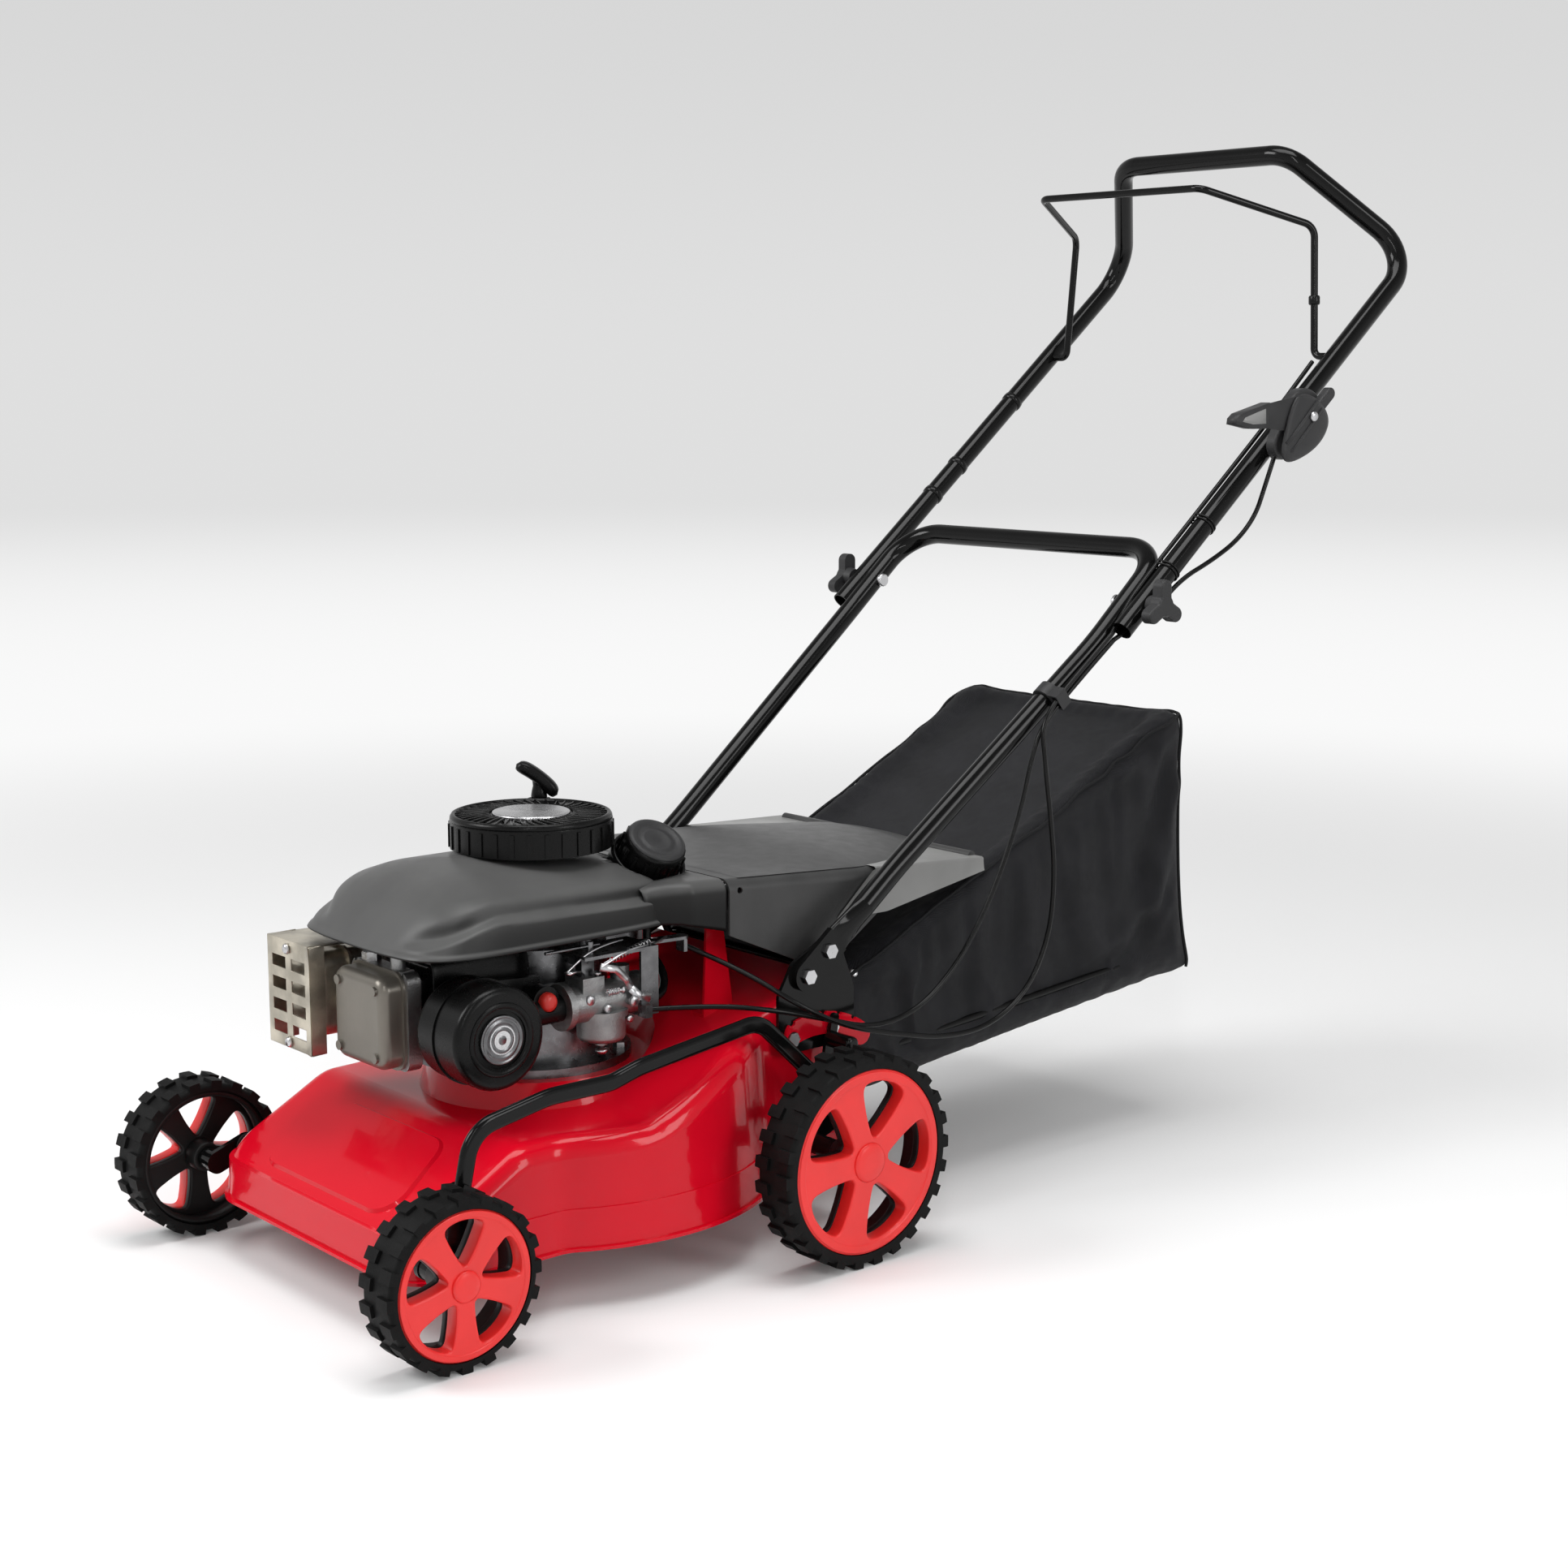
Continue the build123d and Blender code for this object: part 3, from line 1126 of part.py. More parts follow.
def fuel_tank():
    """Flat tank behind the engine with a filler neck and a hose nipple."""
    body = fillet(block(TANK_X, TANK_Y, TANK_Z).edges(), TANK_FILLET)
    neck = on_cap_axis(Cylinder(NECK_R, NECK_LEN), NECK_TOP + NECK_LEN / 2)
    inside = on_cap_axis(Cylinder(NECK_R - NECK_WALL, NECK_LEN), NECK_TOP + NECK_LEN / 2 - 10)
    return body + neck - inside


def fuel_cap():
    """Ribbed filler cap turning on the neck."""
    cap = Cylinder(CAP_R, CAP_H)
    cap = fillet(cap.edges().sort_by(Axis.Z)[-1], 4)
    for i in range(CAP_RIBS):
        cap += Rot(0, 0, 360 / CAP_RIBS * i) * Pos(CAP_R, 0, -3) * Cylinder(2.2, CAP_H - 8)
    cap -= Pos(0, 0, -CAP_WALL) * Cylinder(NECK_R + RUN_FIT, CAP_H)
    return on_cap_axis(cap, CAP_H / 2)


def air_filter_base():
    """Filter tray with the arm to the carburettor, the duct and the primer boss."""
    tray = rod_x(FILTER_R, FILTER_BACK_X, FILTER_SPLIT_X, FILTER_Y, FILTER_Z)
    tray = fillet(tray.edges().sort_by(Axis.X)[0], FILTER_EDGE_R)
    arm = polygon((FILTER_Y, FILTER_ARM_Z[0]), (FILTER_ARM_BACK_Y, FILTER_ARM_Z[0] + 8),
                  (FILTER_ARM_BACK_Y, FILTER_ARM_Z[1] - 6), (FILTER_Y, FILTER_ARM_Z[1]))
    body = tray + side_plate(arm, FILTER_BACK_X, FILTER_BACK_X + FILTER_ARM_T)
    body += rod_y(DUCT_R, CARB_X, DUCT_FRONT_Y, CARB_Y[0], CARB_Z)
    body += block((FILTER_BACK_X, FILTER_SPLIT_X - 1), (DUCT_FRONT_Y - 14, DUCT_FRONT_Y + 8),
                  (CARB_Z - DUCT_R, CARB_Z + DUCT_R))
    body += rod_x(PRIMER_BOSS_R, FILTER_BACK_X, PRIMER_BOSS_X, PRIMER_Y, PRIMER_Z)
    cavity = rod_x(FILTER_R - FILTER_WALL, FILTER_BACK_X + 6, FILTER_SPLIT_X, FILTER_Y, FILTER_Z)
    body -= cavity
    return body - rod_x(PRIMER_R + RUN_FIT, PRIMER_FRONT_X - PRIMER_DEEP, PRIMER_FRONT_X, PRIMER_Y, PRIMER_Z)


def air_filter_cover():
    """Round filter cover with a soft edge and a shallow dish in its face."""
    body = rod_x(FILTER_R, FILTER_SPLIT_X, FILTER_FACE_X, FILTER_Y, FILTER_Z)
    body = fillet(body.edges().sort_by(Axis.X)[-1], FILTER_EDGE_R)
    body += rod_x(FILTER_R + 1.5, FILTER_SPLIT_X, FILTER_SPLIT_X + 4, FILTER_Y, FILTER_Z)
    body -= rod_x(FILTER_R - FILTER_WALL, FILTER_SPLIT_X, FILTER_FACE_X - 6, FILTER_Y, FILTER_Z)
    return body - rod_x(FILTER_BADGE_R + 4, FILTER_FACE_X - FILTER_BADGE_T, FILTER_FACE_X, FILTER_Y, FILTER_Z)


def filter_badge():
    """Plain stepped disc in the face of the filter cover."""
    low = FILTER_FACE_X - FILTER_BADGE_T
    disc = rod_x(FILTER_BADGE_R, low, low + FILTER_BADGE_T + 0.5, FILTER_Y, FILTER_Z)
    return disc + rod_x(FILTER_BADGE_R * 0.6, low, low + FILTER_BADGE_T + 1.5, FILTER_Y, FILTER_Z)


def primer_bulb():
    """Soft push bulb in the filter arm."""
    low = PRIMER_FRONT_X - PRIMER_SKIRT - PRIMER_STROKE
    body = rod_x(PRIMER_R, low, PRIMER_FRONT_X, PRIMER_Y, PRIMER_Z)
    return fillet(body.edges().sort_by(Axis.X)[-1], PRIMER_R * 0.7)


def carburettor():
    """Carburettor with throat, float bowl, intake flange, plugs and screws."""
    body = rod_y(CARB_THROAT_R, CARB_X, CARB_Y[0], CARB_Y[1], CARB_Z)
    body += rod_y(CARB_THROAT_R + 4, CARB_X, CARB_Y[0], CARB_Y[0] + 7, CARB_Z)
    body += rod_y(CARB_THROAT_R + 3, CARB_X, CARB_Y[1] - 6, CARB_Y[1], CARB_Z)
    bowl_top = CARB_Z - 8
    bowl = rod_z(CARB_BOWL_R, CARB_X, CARB_BOWL_Y, bowl_top - CARB_BOWL_H, bowl_top)
    bowl = fillet(bowl.edges().sort_by(Axis.Z)[0], 6)
    body += bowl + rod_z(CARB_BOWL_R + 2, CARB_X, CARB_BOWL_Y, bowl_top - 6, bowl_top)
    body += rod_z(6, CARB_X, CARB_BOWL_Y, bowl_top - CARB_BOWL_H - 5, bowl_top)
    outline = Pos(INTAKE_Y, CARB_Z) * RectangleRounded(CARB_FLANGE_W, CARB_FLANGE_W, 8)
    flange = side_plate(outline, INTAKE_X, INTAKE_X + CARB_FLANGE_T)
    body += flange + rod_z(9, CARB_X, CARB_BOWL_Y + 22, CARB_Z, CARB_Z + 30)
    body += block((CARB_X - 14, CARB_X + 14), (10, 34), (CARB_Z, CARB_Z + 26))
    return body + rod_x(5, CARB_X, CARB_X + CARB_THROAT_R + 8, 60, CARB_Z)


def control_bracket():
    """Governor plate over the carburettor with lever, rod, spring tab and cable anchor."""
    plate = block((73, 122), (4, 88), (LINKAGE_Z, LINKAGE_Z + 3))
    plate += block((36, 80), (38, 60), (LINKAGE_Z, LINKAGE_Z + 3))
    plate += block((CARB_X - 5, CARB_X + 5), (15, 29), (CARB_Z + 26, LINKAGE_Z))
    plate += block((119, 122), (68, 88), (CABLE_STOP_Z - 6, LINKAGE_Z + 3))
    plate += block((119, 131), (66, 74), (CABLE_STOP_Z - 6, CABLE_STOP_Z + 6))
    plate -= rod_z(POST_R + 1, POST_X, CRANK_Y, LINKAGE_Z - 5, LINKAGE_Z + 5)
    plate += rod_z(LINKAGE_ROD_R * 2, 108, 20, LINKAGE_Z, LINKAGE_Z + 14)
    plate += rod_y(LINKAGE_ROD_R, 108, -30, 30, LINKAGE_Z + 10)
    plate += extrude(Pos(0, 0, LINKAGE_Z) * strap((98, 84), (104, BRAKE_STOP_Y - 3), 14), amount=3)
    return plate + block((98, 110), (BRAKE_STOP_Y - 4, BRAKE_STOP_Y), (LINKAGE_Z - 12, LINKAGE_Z + 3))


HOSE_ROUTE = [
    (*HOSE_XY, TANK_Z[0]), (*HOSE_XY, 280.0), (80.0, 128.0, 258.0),
    (CARB_X, 112.0, 241.0), (CARB_X, CARB_Y[1], 241.0)]


def cord_radii(points):
    """Radii of arcs that join straight runs smoothly."""
    radii = []
    for a, b, c in zip(points, points[1:], points[2:]):
        u = Vector(*b) - Vector(*a)
        v = Vector(*c) - Vector(*b)
        half = radians(u.get_angle(v)) / 2
        radii.append(0.45 * min(u.length, v.length) / tan(half))
    return radii


def cord(name, points, radius):
    """Round cord along straight runs joined by tangent arcs, with its sizes printed."""
    radii = cord_radii(points)
    path = FilletPolyline(*points, radius=radii)
    lead = path % 0
    side = Vector(1, 0, 0) if abs(lead.X) < 0.9 else Vector(0, 1, 0)
    start = Plane(origin=path @ 0, x_dir=side - lead * side.dot(lead), z_dir=lead)
    body = sweep(start * Circle(radius), path=path)
    share = body.volume / (3.14159265 * radius ** 2 * path.length)
    print(name, "length", round(path.length, 1), "volume share", round(share, 4),
          "radii", [round(r, 1) for r in radii])
    return body


# Crankshaft and blade

def crankshaft():
    """Shaft through the engine with a flywheel nut on top."""
    shaft = rod_z(SHAFT_R, 0, CRANK_Y, SHAFT_LOW_Z, SHAFT_HIGH_Z)
    nut = extrude(Pos(0, CRANK_Y, FLYWHEEL_Z + FLYWHEEL_T) * RegularPolygon(17, 6), amount=10)
    return shaft + nut


def flywheel():
    """Flywheel with a ring of fan blades."""
    body = rod_z(FLYWHEEL_R, 0, CRANK_Y, FLYWHEEL_Z, FLYWHEEL_Z + FLYWHEEL_T)
    body -= rod_z(FLYWHEEL_R - 12, 0, CRANK_Y, FLYWHEEL_Z - 1, FLYWHEEL_Z + FLYWHEEL_T - 8)
    body += rod_z(22, 0, CRANK_Y, FLYWHEEL_Z, FLYWHEEL_Z + FLYWHEEL_T)
    fan = [
        Pos(0, CRANK_Y, FLYWHEEL_Z + FLYWHEEL_T + FAN_H / 2) * Rot(0, 0, 360 / FAN_BLADES * i)
        * Pos(FLYWHEEL_R - 16, 0, 0) * Rot(0, 0, 30) * Box(26, 3, FAN_H)
        for i in range(FAN_BLADES)
    ]
    return body + fan - rod_z(SHAFT_R, 0, CRANK_Y, FLYWHEEL_Z - 5, FLYWHEEL_Z + FLYWHEEL_T + 5)


def blade_adapter():
    """Collar that keys the blade to the shaft."""
    top = BLADE_Z + BLADE_T
    body = rod_z(ADAPTER_R, 0, CRANK_Y, top, top + ADAPTER_T) + rod_z(18, 0, CRANK_Y, top, top + 40)
    body -= rod_z(SHAFT_R, 0, CRANK_Y, SHAFT_LOW_Z, top + 50)
    return body - rod_z(BLADE_BOLT_R, 0, CRANK_Y, top - 1, SHAFT_LOW_Z + 1)


def blade():
    """Mulching blade with ground edges and raised sails."""
    half = BLADE_LEN / 2
    face = polygon((-half, -BLADE_W / 2), (half - 14, -BLADE_W / 2), (half, -BLADE_W / 4),
                   (half, BLADE_W / 2), (-half + 14, BLADE_W / 2), (-half, BLADE_W / 4))
    body = extrude(Pos(0, CRANK_Y, BLADE_Z) * face, amount=BLADE_T)
    for turn in (0, 180):
        sail = Pos(half - 55, BLADE_W / 2 - 7, BLADE_LIFT / 2) * Rot(38, 0, 0) * Box(90, 20, BLADE_T)
        edge = Pos(half - 60, -BLADE_W / 2, BLADE_T) * Rot(35, 0, 0) * Box(100, 12, 5)
        place = Pos(0, CRANK_Y, BLADE_Z) * Rot(0, 0, turn)
        body = body + place * sail - place * edge
    return body - rod_z(BLADE_BOLT_R, 0, CRANK_Y, BLADE_Z - 1, BLADE_Z + BLADE_T + 1)


def blade_bolt():
    """Bolt that clamps the blade, with its washer."""
    body = extrude(Pos(0, CRANK_Y, BLADE_Z - 10) * RegularPolygon(BLADE_BOLT_HEAD_R, 6), amount=8)
    body += rod_z(16, 0, CRANK_Y, BLADE_Z - 3, BLADE_Z)
    return body + rod_z(BLADE_BOLT_R, 0, CRANK_Y, BLADE_Z - 3, SHAFT_LOW_Z)


deck_shell -= rod_z(SEAT_HOLE_R, 0, CRANK_Y, SEAT_Z - 30, SEAT_Z + 10)
for x, y in base_bolts():
    deck_shell -= rod_z(ENGINE_BOLT_R, x, y, SEAT_Z - 20, SEAT_Z + 10)
keep("deck_shell", deck_shell)
keep("bolts", Compound(children=[*bracket_bolts(), *engine_bolts(), *both(handle_bolt())]))
keep("engine_block", engine_block())
keep("cylinder_head", cylinder_head())
keep("spark_plug", spark_plug())
keep("rocker_cover", rocker_cover())
keep("muffler", muffler())
keep("muffler_guard", muffler_guard())
keep("starter_housing", starter_housing())
keep("starter_pulley", starter_pulley())
keep("starter_grip", starter_grip())
keep("starter_rope", rod_z(ROPE_R, *ROPE_XY, ROPE_LOW_Z, DRUM_TOP_Z + EASE))
keep("fuel_tank", fuel_tank())
keep("fuel_cap", fuel_cap())
keep("air_filter_base", air_filter_base())
keep("air_filter_cover", air_filter_cover())
keep("silver_discs", Compound(children=[starter_badge(), filter_badge()]))
keep("primer_bulb", primer_bulb())
keep("carburettor", carburettor())
keep("control_bracket", control_bracket())
keep("fuel_hose", cord("fuel hose", HOSE_ROUTE, HOSE_R))
keep("crankshaft", crankshaft())
keep("flywheel", flywheel())
keep("blade", blade())
keep("blade_clamp", Compound(children=[blade_adapter(), blade_bolt()]))

# Throttle control and cables

UPPER_TURN = radians(HANDLE_ANGLE)


def off_upper(x, run, rise):
    """Point beside the upper handle: a run above the bolt and a rise square to the tube."""
    y, z = along_upper(run)
    return (x, y - rise * sin(UPPER_TURN), z + rise * cos(UPPER_TURN))


THROTTLE_RUN = (THROTTLE_Y - BOLT_Y) / cos(UPPER_TURN)
THROTTLE_X = UPPER_X + TUBE_R + EASE
THROTTLE_AT = along_upper(THROTTLE_RUN)


def throttle_housing():
    """Teardrop housing clamped to the outside of the left tube, with the pivot pin of its lever."""
    tip = along_upper(THROTTLE_RUN - THROTTLE_TIP_AT)
    rounds = [Pos(*THROTTLE_AT) * Circle(THROTTLE_R), Pos(*tip) * Circle(THROTTLE_TIP_R)]
    drop = make_hull([round_end.edge() for round_end in rounds])
    plate = side_plate(drop, THROTTLE_X, THROTTLE_X + THROTTLE_T)
    plate = fillet(plate.faces().sort_by(Axis.X)[-1].edges(), 4)
    axis = Plane(origin=(UPPER_X, *THROTTLE_AT), x_dir=(1, 0, 0), z_dir=(0, cos(UPPER_TURN), sin(UPPER_TURN)))
    ring = axis * Cylinder(TUBE_R + THROTTLE_CLAMP_T, THROTTLE_CLAMP_W)
    screw = Pos(UPPER_X - TUBE_R - THROTTLE_CLAMP_T - 5, *THROTTLE_AT) * Rot(0, -90, 0) * Cone(8, 3, 14)
    body = plate + ring + screw - axis * Cylinder(TUBE_R, 300)
    pin_end = THROTTLE_X + THROTTLE_T + THROTTLE_LEVER_T - 2
    return body + rod_x(THROTTLE_PIN_R, THROTTLE_X + 2, pin_end, *THROTTLE_AT)


def throttle_lever():
    """Ridge lever over the housing."""
    low = THROTTLE_X + THROTTLE_T + EASE
    front = along_upper(THROTTLE_RUN - THROTTLE_LEVER_LEN * 0.4)
    back = along_upper(THROTTLE_RUN + THROTTLE_LEVER_LEN * 0.6)
    ridge = side_plate(strap(front, back, THROTTLE_LEVER_W), low, low + THROTTLE_LEVER_T)
    ridge += rod_x(THROTTLE_LEVER_W, low, low + THROTTLE_LEVER_T, *THROTTLE_AT)
    top = ridge.faces().sort_by(Axis.X)[-1]
    ridge = fillet(top.edges(), 2.5)
    return ridge - rod_x(THROTTLE_PIN_R + RUN_FIT, low - 1, low + THROTTLE_LEVER_T - 2 + EASE, *THROTTLE_AT)


def clip_frame(y):
    """Plane across the lower leg at a place along it, its x axis sideways."""
    low = Vector(FOOT_X, *along_foot(FOOT_FLAT_LEN + LOWER_FOOT_RUN))
    high = Vector(LOWER_X, LOWER_BEND_Y, LOWER_BEND_Z)
    run = (high - low).normalized()
    share = (y - low.Y) / (high.Y - low.Y)
    side = Vector(1, 0, 0)
    return Plane(origin=low + (high - low) * share, x_dir=side - run * side.dot(run), z_dir=run)


def cable_clip():
    """Clip round the lower leg with a lug that holds both cables."""
    frame = clip_frame(CLIP_Y)
    body = frame * Cylinder(TUBE_R + CLIP_T, CLIP_W)
    lug = Box(CABLE_SIDE + 1, 2 * (CABLE_APART + CABLE_R + CLIP_T), CLIP_W)
    body += frame * Pos(CABLE_SIDE / 2 + 4, 0, 0) * lug
    body -= frame * Cylinder(TUBE_R, 3 * CLIP_W)
    for rise in (-CABLE_APART, CABLE_APART):
        body -= frame * Pos(CABLE_SIDE, rise, 0) * Cylinder(CABLE_R + CLIP_EASE, 3 * CLIP_W)
    return body


THROTTLE_CABLE_ROUTE = [
    (206.5, 614.2, 554.2), (205.4, 570.0, 521.2), (203.0, 515.0, 476.4), (201.5, 500.0, 441.0),
    (203.1, 486.0, 394.5), (202.6, 462.2, 339.6), (201.7, 432.9, 287.5), (200.5, 395.5, 240.9),
    (200.1, 346.5, 207.2), (199.0, 287.9, 200.0), (196.0, 231.5, 218.0), (185.0, 176.2, 234.0),
    (156.3, 124.0, 242.0), (125.0, 76.0, CABLE_STOP_Z)]
BRAKE_CABLE_ROUTE = [
    (206.5, 609.8, 559.8), (205.6, 566.0, 526.3), (205.6, 510.6, 482.1), (212.5, 508.0, 442.0),
    (213.5, 517.0, 384.5), (214.3, 524.3, 322.4), (214.2, 518.3, 260.6), (213.5, 488.2, 206.9),
    (212.3, 433.9, 178.4), (211.1, 371.9, 178.2), (210.0, 311.3, 192.4), (205.7, 251.2, 208.3),
    (195.5, 197.0, 237.0), (150.1, 167.5, 267.0), (106.0, BRAKE_STOP_Y + 2.0, 288.0)]
THROTTLE_LOOP_ROUTE = [
    off_upper(231.0, THROTTLE_RUN - 58.5, -4.0), off_upper(229.0, 205.0, -22.0),
    off_upper(228.0, 178.0, -36.0), off_upper(227.0, 140.0, -38.0), off_upper(226.0, 96.0, -27.0),
    off_upper(222.0, 56.0, -14.5),
    off_upper(220.0, 16.0, -13.0)]
BRAKE_TOP_ROUTE = [
    off_upper(204.0, 360.0, 26.0), off_upper(204.5, 318.0, 16.0), off_upper(205.6, 270.0, 11.2),
    off_upper(205.6, 16.0, 11.2)]


bores = [cord("throttle loop bore", THROTTLE_LOOP_ROUTE, CABLE_R + RUN_FIT),
         cord("brake top run bore", BRAKE_TOP_ROUTE, CABLE_R + RUN_FIT)]
keep("throttle_housing", throttle_housing() - bores)
keep("throttle_lever", throttle_lever())
keep("cable_clip", cable_clip())
keep("throttle_cable", cord("throttle cable", THROTTLE_CABLE_ROUTE, CABLE_R))
keep("brake_cable", cord("brake cable", BRAKE_CABLE_ROUTE, CABLE_R))
loop = cord("throttle loop", THROTTLE_LOOP_ROUTE, CABLE_R)
top_run = cord("brake top run", BRAKE_TOP_ROUTE, CABLE_R)
keep("handle_cables", Compound(children=[loop, top_run]))

# Flap over the chute

FLAP_PLAN = ((-FLAP_FRONT_HALF, FLAP_FRONT_Y), (FLAP_FRONT_HALF, FLAP_FRONT_Y),
             (FLAP_BACK_HALF, FLAP_BACK_Y), (-FLAP_BACK_HALF, FLAP_BACK_Y))


def flap_top(y, drop):
    """Height of the flap's top skin."""
    share = (y - FLAP_FRONT_Y) / (FLAP_BACK_Y - FLAP_FRONT_Y)
    return FLAP_FRONT_Z + (FLAP_BACK_Z - FLAP_FRONT_Z) * share - drop


def flap_form():
    """Moulded form of flap and cowl with skirts, hollow underneath."""
    outline = polygon((FLAP_FRONT_Y, flap_top(FLAP_FRONT_Y, 0)), (FLAP_BACK_Y, flap_top(FLAP_BACK_Y, 0)),
                      *FLAP_SKIRT)
    body = side_plate(outline, -200, 200) & extrude(Pos(0, 0, 200) * polygon(*FLAP_PLAN), amount=300)
    crown = [e for e in body.edges() if e.bounding_box().size.Y > 300 and e.center().Z > FLAP_BACK_Z]
    body = fillet(crown, FLAP_EDGE_R)
    ahead_y = FLAP_FRONT_Y - 20
    space = polygon((ahead_y, flap_top(ahead_y, FLAP_T)),
                    (FLAP_BACK_Y, flap_top(FLAP_BACK_Y, FLAP_T)), (FLAP_BACK_Y, 200), (ahead_y, 200))
    widen = (FLAP_BACK_HALF - FLAP_FRONT_HALF) / (FLAP_BACK_Y - FLAP_FRONT_Y)
    ahead = FLAP_FRONT_HALF - FLAP_T - 20 * widen
    behind = FLAP_BACK_HALF - FLAP_T - FLAP_T * widen
    inset = polygon((-ahead, FLAP_FRONT_Y - 20), (ahead, FLAP_FRONT_Y - 20),
                    (behind, FLAP_BACK_Y - FLAP_T), (-behind, FLAP_BACK_Y - FLAP_T))
    hollow = side_plate(space, -200, 200) & extrude(Pos(0, 0, 200) * inset, amount=300)
    crown = [e for e in hollow.edges() if e.bounding_box().size.Y > 300 and e.center().Z > 300]
    hollow = fillet(crown, FLAP_EDGE_R - FLAP_T)
    return body - hollow


def rear_cowl():
    """Part of the form that stays with the shroud, fitted round it and clear of the fuel cap."""
    body = flap_form() & block((-200, 200), (0, COWL_END_Y), (200, 500))
    body -= shroud_loft(-COWL_SINK, SHROUD_LOW_Z, SHROUD_TOP_Z)
    mouth = shroud_face(
        SHROUD_LOW_Z, SHROUD_LOW_HALF, SHROUD_LOW_FRONT, SHROUD_BACK, SHROUD_LOW_CORNER, -COWL_SINK)
    body -= extrude(mouth, amount=-40)
    return body - on_cap_axis(Cylinder(CAP_R + CAP_CLEAR, 200), 0)


def rear_flap():
    """Flap with its rear lip and hinge knuckles, from the split behind the cowl."""
    body = flap_form() & block((-200, 200), (FLAP_SPLIT_Y, 600), (200, 500))
    lip = rod_x(FLAP_LIP_R, -FLAP_BACK_HALF + 12, FLAP_BACK_HALF - 12, FLAP_BACK_Y - 1, FLAP_BACK_Z)
    body += lip
    for x0, x1 in (KNUCKLE_X, (-KNUCKLE_X[1], -KNUCKLE_X[0])):
        body += rod_x(FLAP_KNUCKLE_R, x0, x1, FLAP_HINGE_Y, FLAP_HINGE_Z)
        web_z = (FLAP_HINGE_Z, flap_top(FLAP_HINGE_Y, 1))
        body += block((x0, x1), (FLAP_HINGE_Y - FLAP_ROD_R, FLAP_HINGE_Y + FLAP_ROD_R), web_z)
    body -= rod_x(FLAP_ROD_R + RUN_FIT, -200, 200, FLAP_HINGE_Y, FLAP_HINGE_Z)
    return body - on_cap_axis(Cylinder(CAP_R + CAP_CLEAR, 200), 0)


def flap_hinge():
    """Hinge stands on the deck, the rod through them and the closing spring on the rod."""
    front, back = HINGE_FOOT_Y
    base = [(front, deck_line(front)), (back, deck_line(back))]
    eye = Pos(FLAP_HINGE_Y, FLAP_HINGE_Z) * Circle(HINGE_EYE_R)
    outline = eye + polygon(
        *base, (FLAP_HINGE_Y + HINGE_EYE_R, FLAP_HINGE_Z), (FLAP_HINGE_Y - HINGE_EYE_R, FLAP_HINGE_Z))
    stand = side_plate(outline, HINGE_STAND_X, HINGE_STAND_X + HINGE_STAND_T)
    foot = polygon(*base, *[(y, z + HINGE_STAND_T) for y, z in reversed(base)])
    stand += side_plate(foot, HINGE_STAND_X - HINGE_FOOT_W, HINGE_STAND_X)
    stand -= rod_x(FLAP_ROD_R, 0, 200, FLAP_HINGE_Y, FLAP_HINGE_Z)
    rod = rod_x(FLAP_ROD_R, -HINGE_STAND_X - 8, HINGE_STAND_X + 8, FLAP_HINGE_Y, FLAP_HINGE_Z)
    return Compound(children=[stand, other_side(stand), rod, flap_spring()])


def deck_line(y):
    """Height of the chute roof."""
    return RISE_TOP_Z + (CHUTE_Z - RISE_TOP_Z) * (y - RISE_TOP_Y) / (TUNNEL_BACK_Y - RISE_TOP_Y)


def flap_spring():
    """Wound closing spring on the hinge rod with a straight leg at each end."""
    length = SPRING_TURNS * SPRING_PITCH
    coil = Helix(SPRING_PITCH, length, FLAP_ROD_R + SPRING_WIRE_R + RUN_FIT)
    wire = sweep(Plane(origin=coil @ 0, z_dir=coil % 0) * Circle(SPRING_WIRE_R), path=coil)
    place = Pos(-length / 2, FLAP_HINGE_Y, FLAP_HINGE_Z) * Rot(0, 90, 0)
    print("spring gap between turns", round(SPRING_PITCH - 2 * SPRING_WIRE_R, 2))
    return place * wire


keep("engine_shroud", engine_shroud() + rear_cowl())
keep("rear_flap", rear_flap())
keep("flap_hinge", flap_hinge())

# Grass bag

def bag_body(inset, front_extra):
    """Bag shape shrunk by the cloth thickness, open towards the front when asked."""
    side = polygon((BAG_FRONT_Y, BAG_FRONT_LOW_Z), (BAG_BACK_Y, BAG_BACK_LOW_Z),
                   (BAG_TOP_BACK_Y, BAG_BACK_TOP_Z), (BAG_FRONT_Y, BAG_FRONT_TOP_Z))
    plan = polygon((-BAG_FRONT_HALF, BAG_FRONT_Y), (BAG_FRONT_HALF, BAG_FRONT_Y),
                   (BAG_BACK_HALF, BAG_BACK_Y), (-BAG_BACK_HALF, BAG_BACK_Y))
    if inset:
        side = offset(side, -inset, kind=Kind.INTERSECTION)
        plan = offset(plan, -inset, kind=Kind.INTERSECTION)
    body = side_plate(side, -200, 200) & extrude(plan, amount=600)
    edges = [e for e in body.edges() if e.bounding_box().max.Y > BAG_FRONT_Y + inset + 20]
    body = fillet(edges, BAG_CORNER_R - inset)
    if front_extra:
        mouth = body.faces().sort_by(Axis.Y)[0]
        body += extrude(mouth, amount=front_extra)
    return body


def hook_points():
    """Route of a hook from the hoop over the edge of the chute roof."""
    hoop_y = BAG_FRONT_Y + HOOP_BACK
    end_z = deck_line(HOOK_END_Y) + BAG_FRAME_R + EASE
    side = [(hoop_y, HOOP_TOP_Z), (290.0, HOOP_TOP_Z + 1), (281.0, 254.0), (HOOK_END_Y, end_z)]
    return [(HOOK_X, y, z) for y, z in side]


